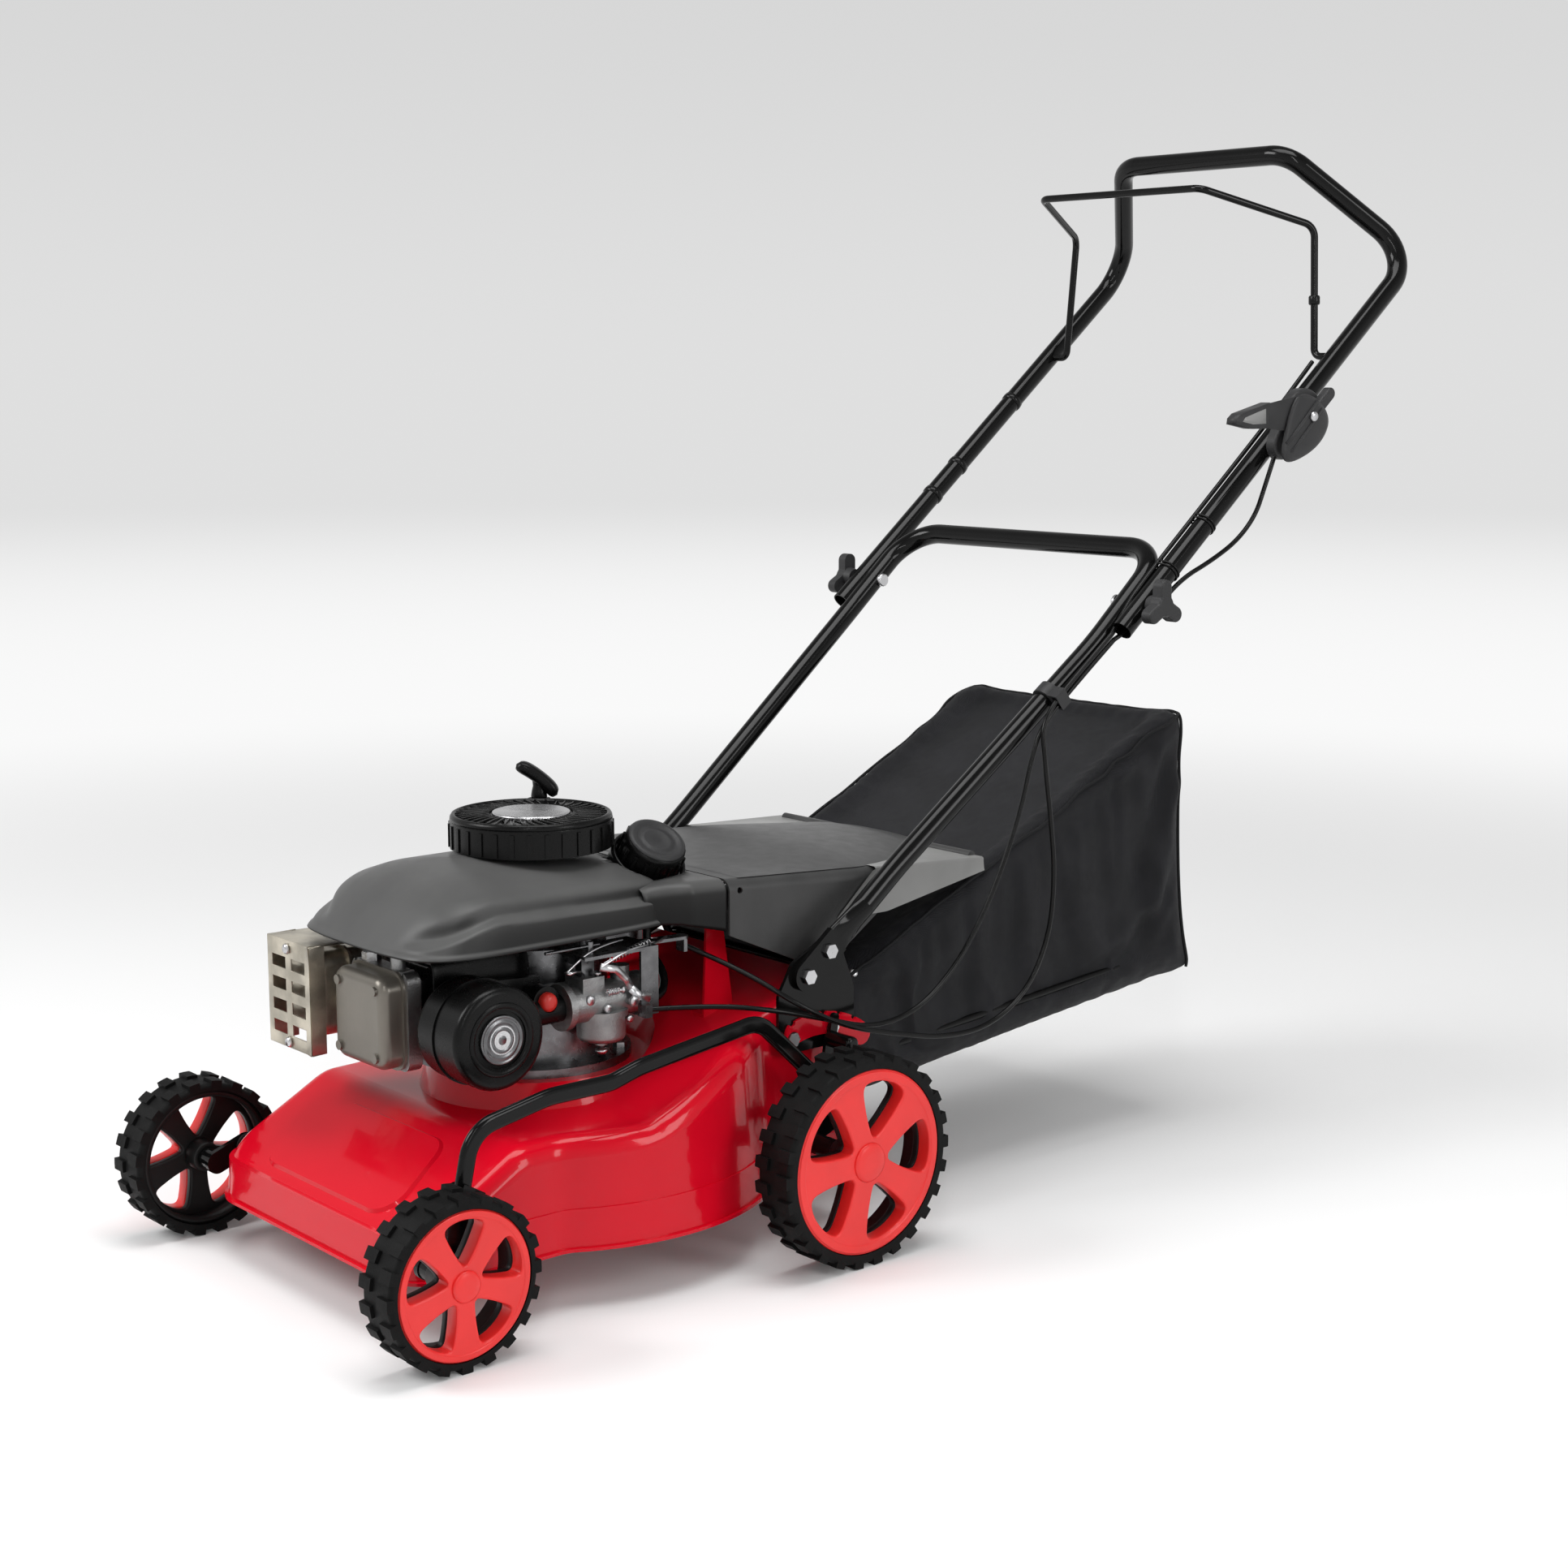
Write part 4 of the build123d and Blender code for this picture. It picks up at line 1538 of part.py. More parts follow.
def bag_frame():
    """Wire frame: hoop in the mouth, loop along the floor and two hooks on the chute roof."""
    y = BAG_FRONT_Y + HOOP_BACK
    half = BAG_FRONT_HALF - BAG_WALL - BAG_FRAME_R - EASE
    low = BAG_FRONT_LOW_Z + BAG_WALL + BAG_FRAME_R + 2
    high = HOOP_TOP_Z
    upright = Plane(origin=(0, y, (low + high) / 2), x_dir=(1, 0, 0), z_dir=(0, -1, 0))
    loop = (upright * RectangleRounded(2 * half, high - low, BAG_CORNER_R - BAG_WALL)).wire()
    frame = sweep(Plane(origin=loop @ 0, x_dir=(0, 1, 0), z_dir=loop % 0) * Circle(BAG_FRAME_R), path=loop)
    side = [(half, y, 152), (156.0, 766.0, 196.0)]
    frame += bent_rod(loop_of(side), [36, 36], Circle(BAG_FRAME_R))
    hook = bent_rod(hook_points(), [5, 6], Circle(BAG_FRAME_R))
    return frame + hook + other_side(hook)


keep("grass_bag", bag_body(0, 0) - bag_body(BAG_WALL, 30))
keep("bag_frame", bag_frame())

os.makedirs("parts", exist_ok=True)
for node, shape in PARTS.items():
    export_step(Pos(0, -ORIGIN_BEHIND_MIDDLE, 0) * shape, f"parts/{node}.step")
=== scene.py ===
import json
import math

import bmesh
import bpy
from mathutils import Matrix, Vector
from mathutils.bvhtree import BVHTree


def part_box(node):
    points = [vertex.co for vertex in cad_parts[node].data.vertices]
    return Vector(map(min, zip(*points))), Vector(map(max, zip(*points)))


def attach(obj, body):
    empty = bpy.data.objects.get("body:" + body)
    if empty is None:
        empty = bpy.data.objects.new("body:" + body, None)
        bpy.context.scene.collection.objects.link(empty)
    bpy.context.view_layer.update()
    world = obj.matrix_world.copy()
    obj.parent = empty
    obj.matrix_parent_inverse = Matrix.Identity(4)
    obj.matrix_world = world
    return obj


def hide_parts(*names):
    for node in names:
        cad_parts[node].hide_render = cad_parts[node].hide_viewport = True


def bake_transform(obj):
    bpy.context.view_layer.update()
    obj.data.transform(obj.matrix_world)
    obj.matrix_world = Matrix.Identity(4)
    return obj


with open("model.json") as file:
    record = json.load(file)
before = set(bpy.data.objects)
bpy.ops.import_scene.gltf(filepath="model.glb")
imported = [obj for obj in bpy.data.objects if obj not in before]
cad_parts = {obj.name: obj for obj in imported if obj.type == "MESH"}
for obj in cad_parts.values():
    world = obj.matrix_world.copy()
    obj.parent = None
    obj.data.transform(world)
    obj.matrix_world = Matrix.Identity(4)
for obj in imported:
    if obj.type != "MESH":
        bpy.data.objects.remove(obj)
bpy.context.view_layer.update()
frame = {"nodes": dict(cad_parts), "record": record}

scene = bpy.context.scene
nodes = frame["nodes"]

# The frame's origin lies this far behind the middle of the wheelbase, in millimetres
ORIGIN_BEHIND = 401.0


def at(x, y, z):
    """Point given in millimetres from the middle of the wheelbase, in the frame's metres."""
    return Vector((x / 1000, (y - ORIGIN_BEHIND) / 1000, z / 1000))


def put(target, **settings):
    """Sets values on a thing and gives it back."""
    for key, value in settings.items():
        setattr(target, key, value)
    return target


# Camera

CAMERA_AT = at(1902.1, -1280.9, 823.8)
CAMERA_YAW = math.radians(49.454)
CAMERA_PITCH = math.radians(9.448)
CAMERA_LENS = 56.76
CAMERA_SENSOR = 36
CAMERA_SEES = 200

lens = put(bpy.data.cameras.new("camera"), lens=CAMERA_LENS, sensor_width=CAMERA_SENSOR, clip_end=CAMERA_SEES)
camera = bpy.data.objects.new("camera", lens)
look = Vector((-math.sin(CAMERA_YAW) * math.cos(CAMERA_PITCH),
               math.cos(CAMERA_YAW) * math.cos(CAMERA_PITCH), -math.sin(CAMERA_PITCH)))
camera.location = CAMERA_AT
camera.rotation_euler = look.to_track_quat("-Z", "Y").to_euler()
scene.collection.objects.link(camera)
scene.camera = camera
scene.view_settings.view_transform = "Standard"


# Node values

class Wire:
    """An output socket of a node tree that takes part in sums."""

    def __init__(self, tree, socket):
        self.tree = tree
        self.socket = socket

    @classmethod
    def node(cls, tree, kind, settings=(), sockets=(), out=0):
        """Makes a node, sets it, feeds its sockets and gives one of its outputs."""
        made = put(tree.nodes.new("ShaderNode" + kind), **dict(settings))
        for key, value in dict(sockets).items():
            if isinstance(value, Wire):
                tree.links.new(value.socket, made.inputs[key])
            else:
                made.inputs[key].default_value = value
        return cls(tree, made.outputs[out])

    def maths(self, operation, first, second=0):
        return Wire.node(self.tree, "Math", {"operation": operation}, {0: first, 1: second})

    def __add__(self, other):
        return self.maths("ADD", self, other)

    def __radd__(self, other):
        return self.maths("ADD", other, self)

    def __sub__(self, other):
        return self.maths("SUBTRACT", self, other)

    def __rsub__(self, other):
        return self.maths("SUBTRACT", other, self)

    def __mul__(self, other):
        return self.maths("MULTIPLY", self, other)

    def __rmul__(self, other):
        return self.maths("MULTIPLY", other, self)

    def __pow__(self, other):
        return self.maths("POWER", self, other)

    def sine(self):
        return self.maths("SINE", self)

    def size(self):
        return self.maths("ABSOLUTE", self)

    def larger(self, other):
        return self.maths("MAXIMUM", self, other)

    def step(self, low, high):
        """0 below low, 1 above high, smooth between."""
        return Wire.node(self.tree, "MapRange", {"interpolation_type": "SMOOTHSTEP"},
                         {0: self, 1: low, 2: high, 3: 0, 4: 1.0})

    def noise(self, scale, detail=3):
        """Noise at this place, from 0 to 1."""
        return Wire.node(self.tree, "TexNoise", (), {"Vector": self, "Scale": scale, "Detail": detail})

    def axis(self, name):
        return Wire.node(self.tree, "SeparateXYZ", (), {0: self}, name)

    def stretched(self, x, y, z):
        return Wire.node(self.tree, "Mapping", (), {"Vector": self, "Scale": (x, y, z)})

    def blend(self, low, high):
        """Colour from low at 0 to high at 1; each is a colour or a wire that carries one."""
        low, high = (end if isinstance(end, Wire) else (*end, 1) for end in (low, high))
        return Wire.node(self.tree, "Mix", {"data_type": "RGBA"}, {"Factor": self, 6: low, 7: high}, 2)

    def feeds(self, shader, socket):
        self.tree.links.new(self.socket, shader.inputs[socket])


# Finishes: how fine the drift of colour and the wear are, and how deep the grain lies, in metres

DRIFT_DETAIL = 4.0
WEAR_FINER = 4.3
WEAR_DETAIL = 5.0
GRAIN_DEEP = 0.001
MATERIALS = {}


def new_material(name):
    """Material with its node tree and its main shader."""
    material = bpy.data.materials.new(name)
    material.use_nodes = True
    return material, material.node_tree, material.node_tree.nodes["Principled BSDF"]


def tinted(colour, share):
    return tuple(min(1, c * share) for c in colour)


def surface(name, colour, rough, mottle=0.12, patches=18, play=0.08, bump=0, grain=900, grain_detail=2,
            shine=0.5, pattern=None, pattern_bump=0, pattern_colour=None, **sockets):
    """Material whose colour and roughness drift a little over the surface, with a fine grain."""
    MATERIALS[name], tree, shader = new_material(name)
    place = Wire.node(tree, "TexCoord", out="Object")
    drift = place.noise(patches, DRIFT_DETAIL).step(0.3, 0.7)
    base = drift.blend(tinted(colour, 1 - mottle), tinted(colour, 1 + mottle))
    # Only the shroud sets a pattern colour: painted shade mixed into its base colour
    if pattern_colour:
        base = pattern(place).blend(base, pattern_colour)
    base.feeds(shader, "Base Color")
    wear = place.noise(patches * WEAR_FINER, WEAR_DETAIL) - 0.5
    (wear * (2 * play) + rough).feeds(shader, "Roughness")
    if bump or pattern_bump:
        height = place.noise(grain, grain_detail) * bump
        if pattern_bump:
            height = height + pattern(place) * pattern_bump
        bumped = Wire.node(tree, "Bump", (), {"Height": height, "Distance": GRAIN_DEEP, "Strength": 1.0})
        bumped.feeds(shader, "Normal")
    shader.inputs["Specular IOR Level"].default_value = shine
    for key, value in sockets.items():
        shader.inputs[key.replace("_", " ")].default_value = value


# Patterns: turned rings, threads of the cloth, strands of the rope, scratches, and painted shade on the
# shroud's side

DRUM_Y = 32.0
TURNED_RINGS = 5200.0
THREADS = 3800.0
THREAD_SLANT = 0.35
STRANDS_ALONG = 2200.0
STRANDS_ROUND = 900.0
SCRATCHES = (60, 900, 900)
# Painted shade on the shroud's side: the upright range of the normal, the height where it fades, and its
# share high on the side
UPRIGHT = (0.05, 0.7)
SHADE_FADES_Z = (0.318, 0.376)
SHADE_ON_HIGH_SIDE = 0.62


def rings(place):
    """Fine turned rings round the starter's axis."""
    x = place.axis("X")
    y = place.axis("Y") + (ORIGIN_BEHIND - DRUM_Y) / 1000
    radius = (x * x + y * y) ** 0.5
    return (radius * TURNED_RINGS).sine() * 0.5 + 0.5


def weave(place):
    """Plain weave: threads over and under each other."""
    along = place.axis("Y") + place.axis("Z") * THREAD_SLANT
    across = place.axis("Z") + place.axis("X") - place.axis("Y") * THREAD_SLANT
    return ((along * THREADS).sine() * (across * THREADS).sine()).size()


def painted_side_shade(place):
    """Painted shade: 1 on the lower, upright side of the engine shroud, 0 on its top and on ledges that face
    up, so the sides darken as if in shade and the up-facing ledges stay light like painted highlights.
    """
    up = Wire.node(place.tree, "NewGeometry", out="Normal").axis("Z").step(*UPRIGHT)
    low = 1.0 - place.axis("Z").step(*SHADE_FADES_Z)
    return (1.0 - up) * (SHADE_ON_HIGH_SIDE + (1 - SHADE_ON_HIGH_SIDE) * low)


def braid(place):
    """Twisted strands of a rope."""
    turn = place.axis("Z") * STRANDS_ALONG + place.axis("X") * STRANDS_ROUND + place.axis("Y") * STRANDS_ROUND
    return turn.sine() * 0.5 + 0.5


def brushed(place):
    """Long fine scratches."""
    return place.stretched(*SCRATCHES).noise(1, 4)


RED = (0.66, 0.003, 0.016)
COVER_RED = (0.84, 0.026, 0.024)
BLACK = (0.004, 0.004, 0.004)

surface("deck_paint", RED, 0.17, mottle=0.05, patches=6, play=0.04, bump=0.05, grain=420, Coat_Weight=0.32,
        Coat_Roughness=0.03, shine=0.1)
surface("cover_red", COVER_RED, 0.36, mottle=0.05, play=0.06, bump=0.03, grain=1600)
surface("tyre", (0.005, 0.005, 0.005), 0.60, mottle=0.25, patches=40, bump=0.22, grain=1100, shine=0.12)
surface("core_black", (0.008, 0.008, 0.008), 0.42, bump=0.08, grain=1500, shine=0.25)
surface("black_paint", BLACK, 0.13, mottle=0.1, play=0.03, bump=0.004, grain=90, shine=0.2)
surface("bush", (0.012, 0.012, 0.012), 0.5, bump=0.06, shine=0.3)
surface("steel", (0.56, 0.56, 0.57), 0.30, mottle=0.1, play=0.12, bump=0.05, pattern=brushed,
        pattern_bump=0.06, Metallic=1)
surface("dull_steel", (0.17, 0.17, 0.175), 0.30, mottle=0.2, patches=50, play=0.12, bump=0.05, Metallic=1)
surface("cast_alloy", (0.30, 0.30, 0.30), 0.38, mottle=0.16, patches=60, play=0.12, bump=0.5, grain=700,
        grain_detail=4, Metallic=0.9)
surface("rocker_paint", (0.19, 0.175, 0.150), 0.34, mottle=0.08, bump=0.06, grain=800, Metallic=0.55)
surface("muffler_steel", (0.50, 0.46, 0.38), 0.36, mottle=0.28, patches=34, play=0.14, bump=0.16, grain=500,
        Metallic=0.85)
surface("engine_plastic", BLACK, 0.28, mottle=0.10, bump=0.05, grain=1500, shine=0.16)
# Shroud plastic with painted shade: near black on its upright and lower sides, lighter on its top and
# up-facing ledges as painted highlights
surface("shroud_plastic", (0.085, 0.085, 0.084), 0.37, mottle=0.08, bump=0.07, grain=1700, pattern=painted_side_shade,
        pattern_colour=(0.005, 0.005, 0.005), shine=0.2)
surface("silver", (0.60, 0.60, 0.61), 0.27, mottle=0.06, pattern=rings, pattern_bump=0.10, Metallic=1)
surface("rope", (0.05, 0.05, 0.05), 0.8, pattern=braid, pattern_bump=0.5)
surface("primer_red", (0.60, 0.028, 0.020), 0.32, mottle=0.06)
surface("rubber", BLACK, 0.24, mottle=0.1, bump=0.01, shine=0.2)
surface("grey_plastic", (0.028, 0.028, 0.029), 0.46, mottle=0.14, bump=0.16, grain=1300, shine=0.3)
surface("flap_plastic", (0.042, 0.042, 0.042), 0.36, mottle=0.14, bump=0.12, grain=1200, shine=0.38)
# Pale grey: on the flap's rear corners partly their own lighter plastic and partly a painted reflection of
# the lamps that shine on them
surface("flap_edge", (0.24, 0.24, 0.235), 0.34, mottle=0.10, patches=12, bump=0.08, grain=1200)
surface("bag_cloth", (0.0085, 0.0085, 0.0105), 0.58, mottle=0.22, patches=26, bump=0.10, grain=1400,
        shine=0.24, pattern=weave, pattern_bump=0.30, Sheen_Weight=0.03, Sheen_Roughness=0.4)
surface("bag_trim", (0.007, 0.007, 0.008), 0.6, mottle=0.15, pattern=weave, pattern_bump=0.3, shine=0.25)

# Solids that wear another finish than their slot's
# The engine block wears the dark steel finish instead of its cast alloy: painted shade for its hidden place
# deep under the shroud
OTHER_FINISH = {"control_bracket": "dull_steel", "engine_block": "dull_steel", "flap_hinge": "deck_paint"}

for part in frame["record"]["subparts"]:
    data = nodes[part["node"]].data
    data.materials.clear()
    data.materials.append(MATERIALS[OTHER_FINISH.get(part["node"], part["material_slot"])])


# Shapes

UP = (0, 0, 1)
LEFT = (1, 0, 0)
FRONT = (0, -1, 0)


def circle(steps):
    """Angles once round."""
    return [2 * math.pi * i / steps for i in range(steps)]


def quarter(steps):
    """Angles from 0 to a right angle."""
    return [math.pi / 2 * i / steps for i in range(steps + 1)]


def smooth(value, low, high):
    t = min(1, max(0, (value - low) / (high - low)))
    return t * t * (3 - 2 * t)


def signed_power(value, power):
    return math.copysign(abs(value) ** power, value)


def piece(name, mesh, material, body):
    """Object of a mesh or curve, placed in the frame and riding on a body."""
    made = bpy.data.objects.new(name, mesh)
    scene.collection.objects.link(made)
    mesh.materials.append(MATERIALS[material])
    if body:
        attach(made, body)
    return made


def shaded(mesh):
    """Smooth shading on every face."""
    for face in mesh.polygons:
        face.use_smooth = True
    return mesh


def evaluated(made):
    """Mesh of an object as its modifiers or its curve make it."""
    bpy.context.view_layer.update()
    return bpy.data.meshes.new_from_object(made.evaluated_get(bpy.context.evaluated_depsgraph_get()))


def add_line(line, points, closed):
    """Adds a NURBS line with these control points to a curve."""
    spline = line.splines.new("NURBS")
    spline.points.add(len(points) - 1)
    for knot, point in zip(spline.points, points):
        knot.co = (*point, 1)
    put(spline, order_u=3, use_cyclic_u=closed, use_endpoint_u=not closed)


def curve_of(name, points, radius, closed=False):
    """Round NURBS line with these control points."""
    line = put(bpy.data.curves.new(name, "CURVE"), dimensions="3D", resolution_u=10, bevel_depth=radius,
               bevel_resolution=4, use_fill_caps=True)
    add_line(line, points, closed)
    return line


def as_mesh(name, line):
    """Mesh of a curve."""
    holder = bpy.data.objects.new(name + "_line", line)
    scene.collection.objects.link(holder)
    mesh = evaluated(holder)
    bpy.data.objects.remove(holder)
    mesh.name = name
    return shaded(mesh)


def mesh_of(name, points, faces):
    """Smooth-shaded mesh of points in the frame's metres."""
    mesh = bpy.data.meshes.new(name)
    mesh.from_pydata([tuple(p) for p in points], [], faces)
    return shaded(mesh)


def loft(name, sections, closed=True, capped=True):
    """Skin over a row of sections with as many points each; closed sections are rings."""
    count = len(sections[0])
    around = count if closed else count - 1
    faces = []
    for i in range(len(sections) - 1):
        for j in range(around):
            k = (j + 1) % count
            faces.append((i * count + j, i * count + k, (i + 1) * count + k, (i + 1) * count + j))
    if closed and capped:
        faces.append(tuple(reversed(range(count))))
        faces.append(tuple(range((len(sections) - 1) * count, len(sections) * count)))
    return mesh_of(name, [p for section in sections for p in section], faces)


def lathe(name, profile, centre, axis, steps=48):
    """Turned form: pairs of radius and height along an axis, in millimetres."""
    axis = Vector(axis).normalized()
    side = axis.orthogonal().normalized()
    across = axis.cross(side)
    rows = [[centre + (axis * height + (side * math.cos(turn) + across * math.sin(turn)) * radius) / 1000
             for turn in circle(steps)] for radius, height in profile]
    return loft(name, rows, capped=profile[0] != profile[-1])


def joined(name, meshes):
    """One mesh of several."""
    whole = bmesh.new()
    for mesh in meshes:
        whole.from_mesh(mesh)
    made = bpy.data.meshes.new(name)
    whole.to_mesh(made)
    whole.free()
    return made


def turned(name, profile, centre, axis, material, body, steps=48):
    """Turned piece."""
    return piece(name, lathe(name, profile, centre, axis, steps), material, body)


def assembled(name, meshes, material, body):
    """Piece made of several meshes."""
    return piece(name, joined(name, meshes), material, body)


def modified(made, kind, **settings):
    """Adds a modifier."""
    return put(made.modifiers.new(kind.lower(), kind), **settings)


def walled(made, thickness):
    """Gives a skin its thickness, inwards."""
    modified(made, "SOLIDIFY", thickness=thickness, offset=-1)


# Engine shroud: a rounded nose, two swept lines on each side, and the cowl over the tank

SHROUD_LOW = 316.0
SHROUD_RISE = 67.0
SHROUD_HALF = 119.5
SHROUD_MID_Y = -59.5
SHROUD_CROWN = 6.4
SHROUD_STEPS = 160
SHROUD_WALL = 0.0016
NOSE_LEN = 106.5
NOSE_POWER = 2 / 3.75
NOSE_LEAN = 0.52
TAIL_LEN = 207.0
TAIL_POWER = 2 / 5.0
TAIL_LEAN = 0.05
SIDE_LEAN = 0.08
EDGE_POWER = 5.75
EDGE_ROUND = 1 / 1.2

# Swept lines: each one's height and its fall round the nose, and the steps over them

LINE_SLOPE = 0.035
LINE_FALLS_Y = (-160, -75)
LOWER_LINE = (339, 22)
LOWER_STEP = 7.0
LOWER_SWELL = 20.0
LOWER_PROUD = 8.0
SWELL_SHARE = 0.55
UPPER_LINE = (360, 12)
UPPER_STEP = 8.0
UPPER_PROUD = 5.5
SIDE_X = (60, 95)
SIDE_SUNK = 10.6
LIP_Z = (318.5, 321)
LIP_PROUD = 1.2
PROUD_OVER = 119.0

# Cowl: half width, height and low edge, and how they change towards the rear

COWL_GROWS_Y = (80, 122)
COWL_HALF = 112.0
COWL_WIDER = 24.5
COWL_FLARE = 0.06
COWL_HIGH = 351.0
COWL_HIGHER = 4.5
COWL_SLOPE = 0.05
COWL_DROPS_Y = 110.0
COWL_DROP = 0.25
COWL_BEND = 13.0
COWL_PITCH = 2.4
COWL_SECTIONS = 33

# Fuel cap: middle of its top, way it faces, and its opening in the shroud, in metres

CAP_AT = at(80, 120, 388)
CAP_WAY = Vector((math.sin(math.radians(35)), 0, math.cos(math.radians(35))))
CAP_HOLE_R = 0.0355
CAP_HOLE_DEEP = 0.06
CAP_HOLE_EDGE = 0.006


def over_line(y, z, high, fall):
    """Height over a line on the shroud's side: level along the side, running down round the nose."""
    return z - (high - LINE_SLOPE * y - fall * (1 - smooth(y, *LINE_FALLS_Y)))


def shroud_point(turn, t):
    """Point of the shroud at an angle round it and a share of its height."""
    squeeze = max(0, 1 - t ** EDGE_POWER) ** EDGE_ROUND
    ahead = math.sin(turn) < 0
    power = NOSE_POWER if ahead else TAIL_POWER
    x = SHROUD_HALF * signed_power(math.cos(turn), power) * (1 - SIDE_LEAN * t) * squeeze
    reach = NOSE_LEN * (1 - NOSE_LEAN * t) if ahead else TAIL_LEN * (1 - TAIL_LEAN * t)
    y = SHROUD_MID_Y + signed_power(math.sin(turn), power) * reach * squeeze
    z = SHROUD_LOW + SHROUD_RISE * t - SHROUD_CROWN * (x / SHROUD_HALF) ** 2 * t
    over_lower = over_line(y, z, *LOWER_LINE)
    swell = SWELL_SHARE * smooth(over_lower, LOWER_STEP, LOWER_SWELL)
    lower = 1 - smooth(over_lower, 0, LOWER_STEP) + swell
    upper = 1 - smooth(over_line(y, z, *UPPER_LINE), 0, UPPER_STEP)
    lip = 1 - smooth(z, *LIP_Z)
    side = smooth(abs(x), *SIDE_X)
    proud = side * (LOWER_PROUD * lower + UPPER_PROUD * upper - SIDE_SUNK) + LIP_PROUD * lip
    grown = 1 + proud / PROUD_OVER
    return at(x * grown, SHROUD_MID_Y + (y - SHROUD_MID_Y) * grown, z)


def cowl_section(y):
    """Upside-down U over the tank at one place along the machine."""
    grown = smooth(y, *COWL_GROWS_Y)
    beyond = max(0, y - COWL_GROWS_Y[1])
    half = COWL_HALF + COWL_WIDER * grown + COWL_FLARE * beyond
    high = COWL_HIGH + COWL_HIGHER * grown - COWL_SLOPE * beyond
    low = SHROUD_LOW - COWL_DROP * max(0, y - COWL_DROPS_Y)
    flat, upright = half - COWL_BEND, high - COWL_BEND
    top = [(flat * i / 24, high) for i in range(24)]
    corner = [(flat + COWL_BEND * math.sin(a), upright + COWL_BEND * math.cos(a)) for a in quarter(8)]
    wall = [(half, low + (upright - low) * i / 8) for i in range(8)]
    near = top + corner + wall[::-1]
    return [at(-x, y, z) for x, z in reversed(near[1:])] + [at(x, y, z) for x, z in near]


def opened_at_cap(mesh):
    """Cuts the round opening of the fuel cap into a skin."""

    def from_cap(co):
        along = (co - CAP_AT).dot(CAP_WAY)
        return along, co - CAP_AT - CAP_WAY * along

    def within(co, radius):
        along, off = from_cap(co)
        return off.length < radius and along > -CAP_HOLE_DEEP

    work = bmesh.new()
    work.from_mesh(mesh)
    inside = [v for v in work.verts if within(v.co, CAP_HOLE_R)]
    bmesh.ops.delete(work, geom=inside, context="VERTS")
    for vertex in work.verts:
        if vertex.is_boundary and within(vertex.co, CAP_HOLE_R + CAP_HOLE_EDGE):
            off = from_cap(vertex.co)[1]
            vertex.co += off.normalized() * (CAP_HOLE_R - off.length)
    work.to_mesh(mesh)
    work.free()
    return mesh


side_levels = [0.8 * i / 48 for i in range(48)]
top_levels = [1 - 0.2 * (1 - i / 22) ** 2.2 for i in range(23)]
shroud_rows = [[shroud_point(turn, t) for turn in circle(SHROUD_STEPS)] for t in side_levels + top_levels]
cowl_rows = [cowl_section(COWL_GROWS_Y[0] + COWL_PITCH * i) for i in range(COWL_SECTIONS)]
shroud = assembled("engine_shroud_form", [opened_at_cap(loft("shroud_skin", shroud_rows, capped=False)),
                                          opened_at_cap(loft("cowl_skin", cowl_rows, closed=False))],
                   "shroud_plastic", "deck")
walled(shroud, SHROUD_WALL)
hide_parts("engine_shroud")

# Collar round the cap, and the rings pressed into the cap's top

turned("filler_collar", [
    (33.2, -40), (36.4, -40), (37.4, -26), (36.8, -22), (35, -21), (33.4, -22.4), (33.2, -40)],
    CAP_AT, CAP_WAY, "engine_plastic", "deck")
# The cap's ringed top wears a lighter grey than the black collar, as a painted highlight on its rings
turned("cap_rings", [
    (0, 0.6), (10, 0.6), (12.5, 1.4), (14.5, 1.4), (16, 0.3), (21, 0.3), (22.5, 1.8), (26, 1.8), (28.5, 0.4),
    (28.5, -1), (0, -1)], CAP_AT, CAP_WAY, "grey_plastic", "fuel_cap")

# Starter: cooling fins on the drum, its rim and the grip

DRUM_TOP = 413.0
DRUM_FINS = 44
FIN_FROM_R = 39.5
FIN_RUN = 32.0
FIN_SWEEP = 0.20
FIN_HALF = 0.9
FIN_TAPER = 0.7
FIN_HIGH = 1.9
FIN_FALL = 0.5
FIN_SUNK = 0.4


def drum_fin(turn):
    """Thin curved fin on top of the drum."""
    sections = []
    for share in (0, 0.25, 0.5, 0.75, 1):
        angle = turn + FIN_SWEEP * share
        out = Vector((math.cos(angle), math.sin(angle), 0))
        side = Vector((-out.y, out.x, 0)) * FIN_HALF
        foot = Vector((0, DRUM_Y, DRUM_TOP - FIN_SUNK)) + out * (FIN_FROM_R + FIN_RUN * share)
        ridge = foot + Vector((0, 0, FIN_HIGH - FIN_FALL * share + FIN_SUNK))
        sections.append([at(*p) for p in (foot - side, foot + side, ridge + side * FIN_TAPER,
                                          ridge - side * FIN_TAPER)])
    return loft("fin", sections)


assembled("drum_fins", [drum_fin(turn) for turn in circle(DRUM_FINS)], "engine_plastic", "deck")
turned("drum_rim", [
    (70.5, -1), (72, 1.6), (73.5, 2.2), (75, 1.6), (76.5, -0.8), (76.9, -4), (73, -4)],
    at(0, DRUM_Y, DRUM_TOP), UP, "engine_plastic", "deck", steps=96)

GRIP_AT = (-65.88, 87.28)
GRIP_FOOT = 413.4
GRIP_MID = Vector((*GRIP_AT, 434))
GRIP_WAY = Vector((-0.506, -0.604, 0.616)).normalized()
GRIP_HALF_LEN = 25.0
GRIP_ARCH = 3.2
GRIP_WIDE = (8.4, 1.2)
GRIP_THICK = (6.6, 0.6)
GRIP_END_POWER = 6
GRIP_SQUARE = 0.75
GRIP_SECTIONS = 24
GRIP_STEPS = 28


